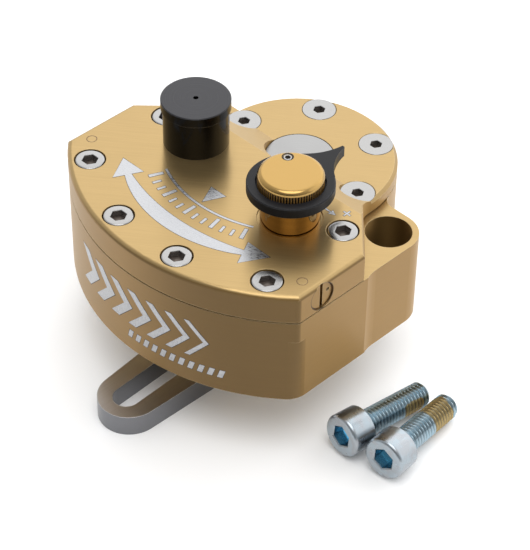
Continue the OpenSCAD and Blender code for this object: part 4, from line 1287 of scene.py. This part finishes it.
cover_screws("lid_cap_screws", cap_screw_outer, CAP_HEX)
cover_screws("lid_flat_screws", flat_screw_outer, FLAT_HEX)
for bolt in BOLTS:
    mounting_bolt(bolt)
for spring_name in SPRINGS:
    spring(spring_name)
engrave("swing_arrow_mark", swing_mark, on_cover)
engrave("front_chevron_mark", front_mark, on_front, FRONT_SLICES)
engrave("knob_mark", knob_mark, on_cover)
plug_lines()
housing_gap()
sweep_marks(1, "right")
sweep_marks(-1, "left")
knob_set_screw()

# Studio, in metres: floor, and light that is bright behind the part and dim at its front
FLOOR_HALF = 12.0
PAPER = (0.94, 0.94, 0.94)
WHITE = (1, 1, 1, 1)
# What the paper adds to its lit brightness where it is seen, so that it shows white
PAPER_GLOW = 0.04
KEY_AZIMUTH = 205
BACK_LIGHT = 1.52
FRONT_LIGHT = 0.1
# Sky over the front: its light, the heights between which it comes in, and how far it goes back
FRONT_SKY = 0.22
SKY_LOW = 0.1
SKY_HIGH = 0.5
SKY_BACK = 0.2
# Lamps: strength, spread, azimuth and elevation, in degrees
LAMPS = {
    "key": (0.55, 66, KEY_AZIMUTH, 40),
    "overhead": (1.25, 46, 45, 74),
    "side": (0.45, 60, 140, 22),
}
CAMERA_PLACE = (0.33287, -0.34779, 0.41815)
CAMERA_TURN = (48.181, -0.721, 45.330)
CAMERA_LENS = 136.95
CAMERA_SENSOR = 36
CAMERA_NEAR = 0.01


def towards(azimuth, elevation):
    """Direction in which azimuth 0 is the front and 90 the right."""
    a = math.radians(azimuth)
    e = math.radians(elevation)
    return Vector((math.sin(a) * math.cos(e), -math.cos(a) * math.cos(e), math.sin(e)))


def white_paper():
    """Paper that glows a little where the camera or a reflection sees it."""
    shine = {"Specular_IOR_Level": 0.1, "Emission_Color": WHITE}
    made = Finish("white paper", PAPER, NO_METAL, roughness=0.9, **shine)
    path = made.tree.nodes.new("ShaderNodeLightPath")
    seen = path.outputs["Is Camera Ray"]
    for ray in ("Is Glossy Ray", "Is Transmission Ray"):
        seen = made.math("MAXIMUM", seen, path.outputs[ray])
    glow = made.add("MapRange", {"Value": seen, "To Max": PAPER_GLOW})
    made.put("Emission Strength", glow)
    return made.material


def studio_floor():
    z = FLOOR_Z * MM
    signs = ((-1, -1), (1, -1), (1, 1), (-1, 1))
    ends = [(FLOOR_HALF * x, FLOOR_HALF * y, z) for x, y in signs]
    mesh = bpy.data.meshes.new("studio_floor")
    mesh.from_pydata(ends, [], [(0, 1, 2, 3)])
    made = bpy.data.objects.new("studio_floor", mesh)
    bpy.context.scene.collection.objects.link(made)
    made.data.materials.append(white_paper())


def studio_world():
    """White light from behind, and from high up over the front."""
    world = bpy.data.worlds.new("studio")
    bpy.context.scene.world = world
    world.use_nodes = True
    tree = world.node_tree
    ground = tree.nodes["Background"]
    ground.inputs["Color"].default_value = WHITE
    place = add_node(tree, "TexCoord", {}, output="Generated")
    back = {0: place, 1: towards(KEY_AZIMUTH, 0)}
    behind = add_node(tree, "VectorMath", back, output="Value", operation="DOT_PRODUCT")
    level = {"Value": behind, "From Min": -1.0, "To Min": FRONT_LIGHT, "To Max": BACK_LIGHT}
    light = add_node(tree, "MapRange", level)
    height = add_node(tree, "SeparateXYZ", {0: place}, output="Z")
    sky = {"Value": height, "From Min": SKY_LOW, "From Max": SKY_HIGH, "To Max": FRONT_SKY}
    high = add_node(tree, "MapRange", sky, interpolation_type="SMOOTHSTEP")
    front = {"Value": behind, "From Min": SKY_BACK, "From Max": -1.0}
    ahead = add_node(tree, "MapRange", front)
    total = add_node(tree, "Math", {0: high, 1: ahead, 2: light}, operation="MULTIPLY_ADD")
    feed(tree, ground.inputs["Strength"], total)


def sun(name, strength, spread, azimuth, elevation):
    """Soft lamp that shines from that direction."""
    lamp = bpy.data.lights.new(name, "SUN")
    lamp.energy = strength
    lamp.angle = math.radians(spread)
    made = bpy.data.objects.new(name, lamp)
    made.rotation_euler = (-towards(azimuth, elevation)).to_track_quat("-Z", "Y").to_euler()
    bpy.context.scene.collection.objects.link(made)


def camera():
    lens = bpy.data.cameras.new("camera")
    lens.lens = CAMERA_LENS
    lens.sensor_width = CAMERA_SENSOR
    lens.clip_start = CAMERA_NEAR
    made = bpy.data.objects.new("camera", lens)
    made.location = CAMERA_PLACE
    made.rotation_euler = Euler([math.radians(t) for t in CAMERA_TURN], "XYZ")
    bpy.context.scene.collection.objects.link(made)
    bpy.context.scene.camera = made


studio_floor()
studio_world()
for lamp_name, settings in LAMPS.items():
    sun(lamp_name, *settings)
camera()
bpy.context.scene.view_settings.view_transform = "Standard"
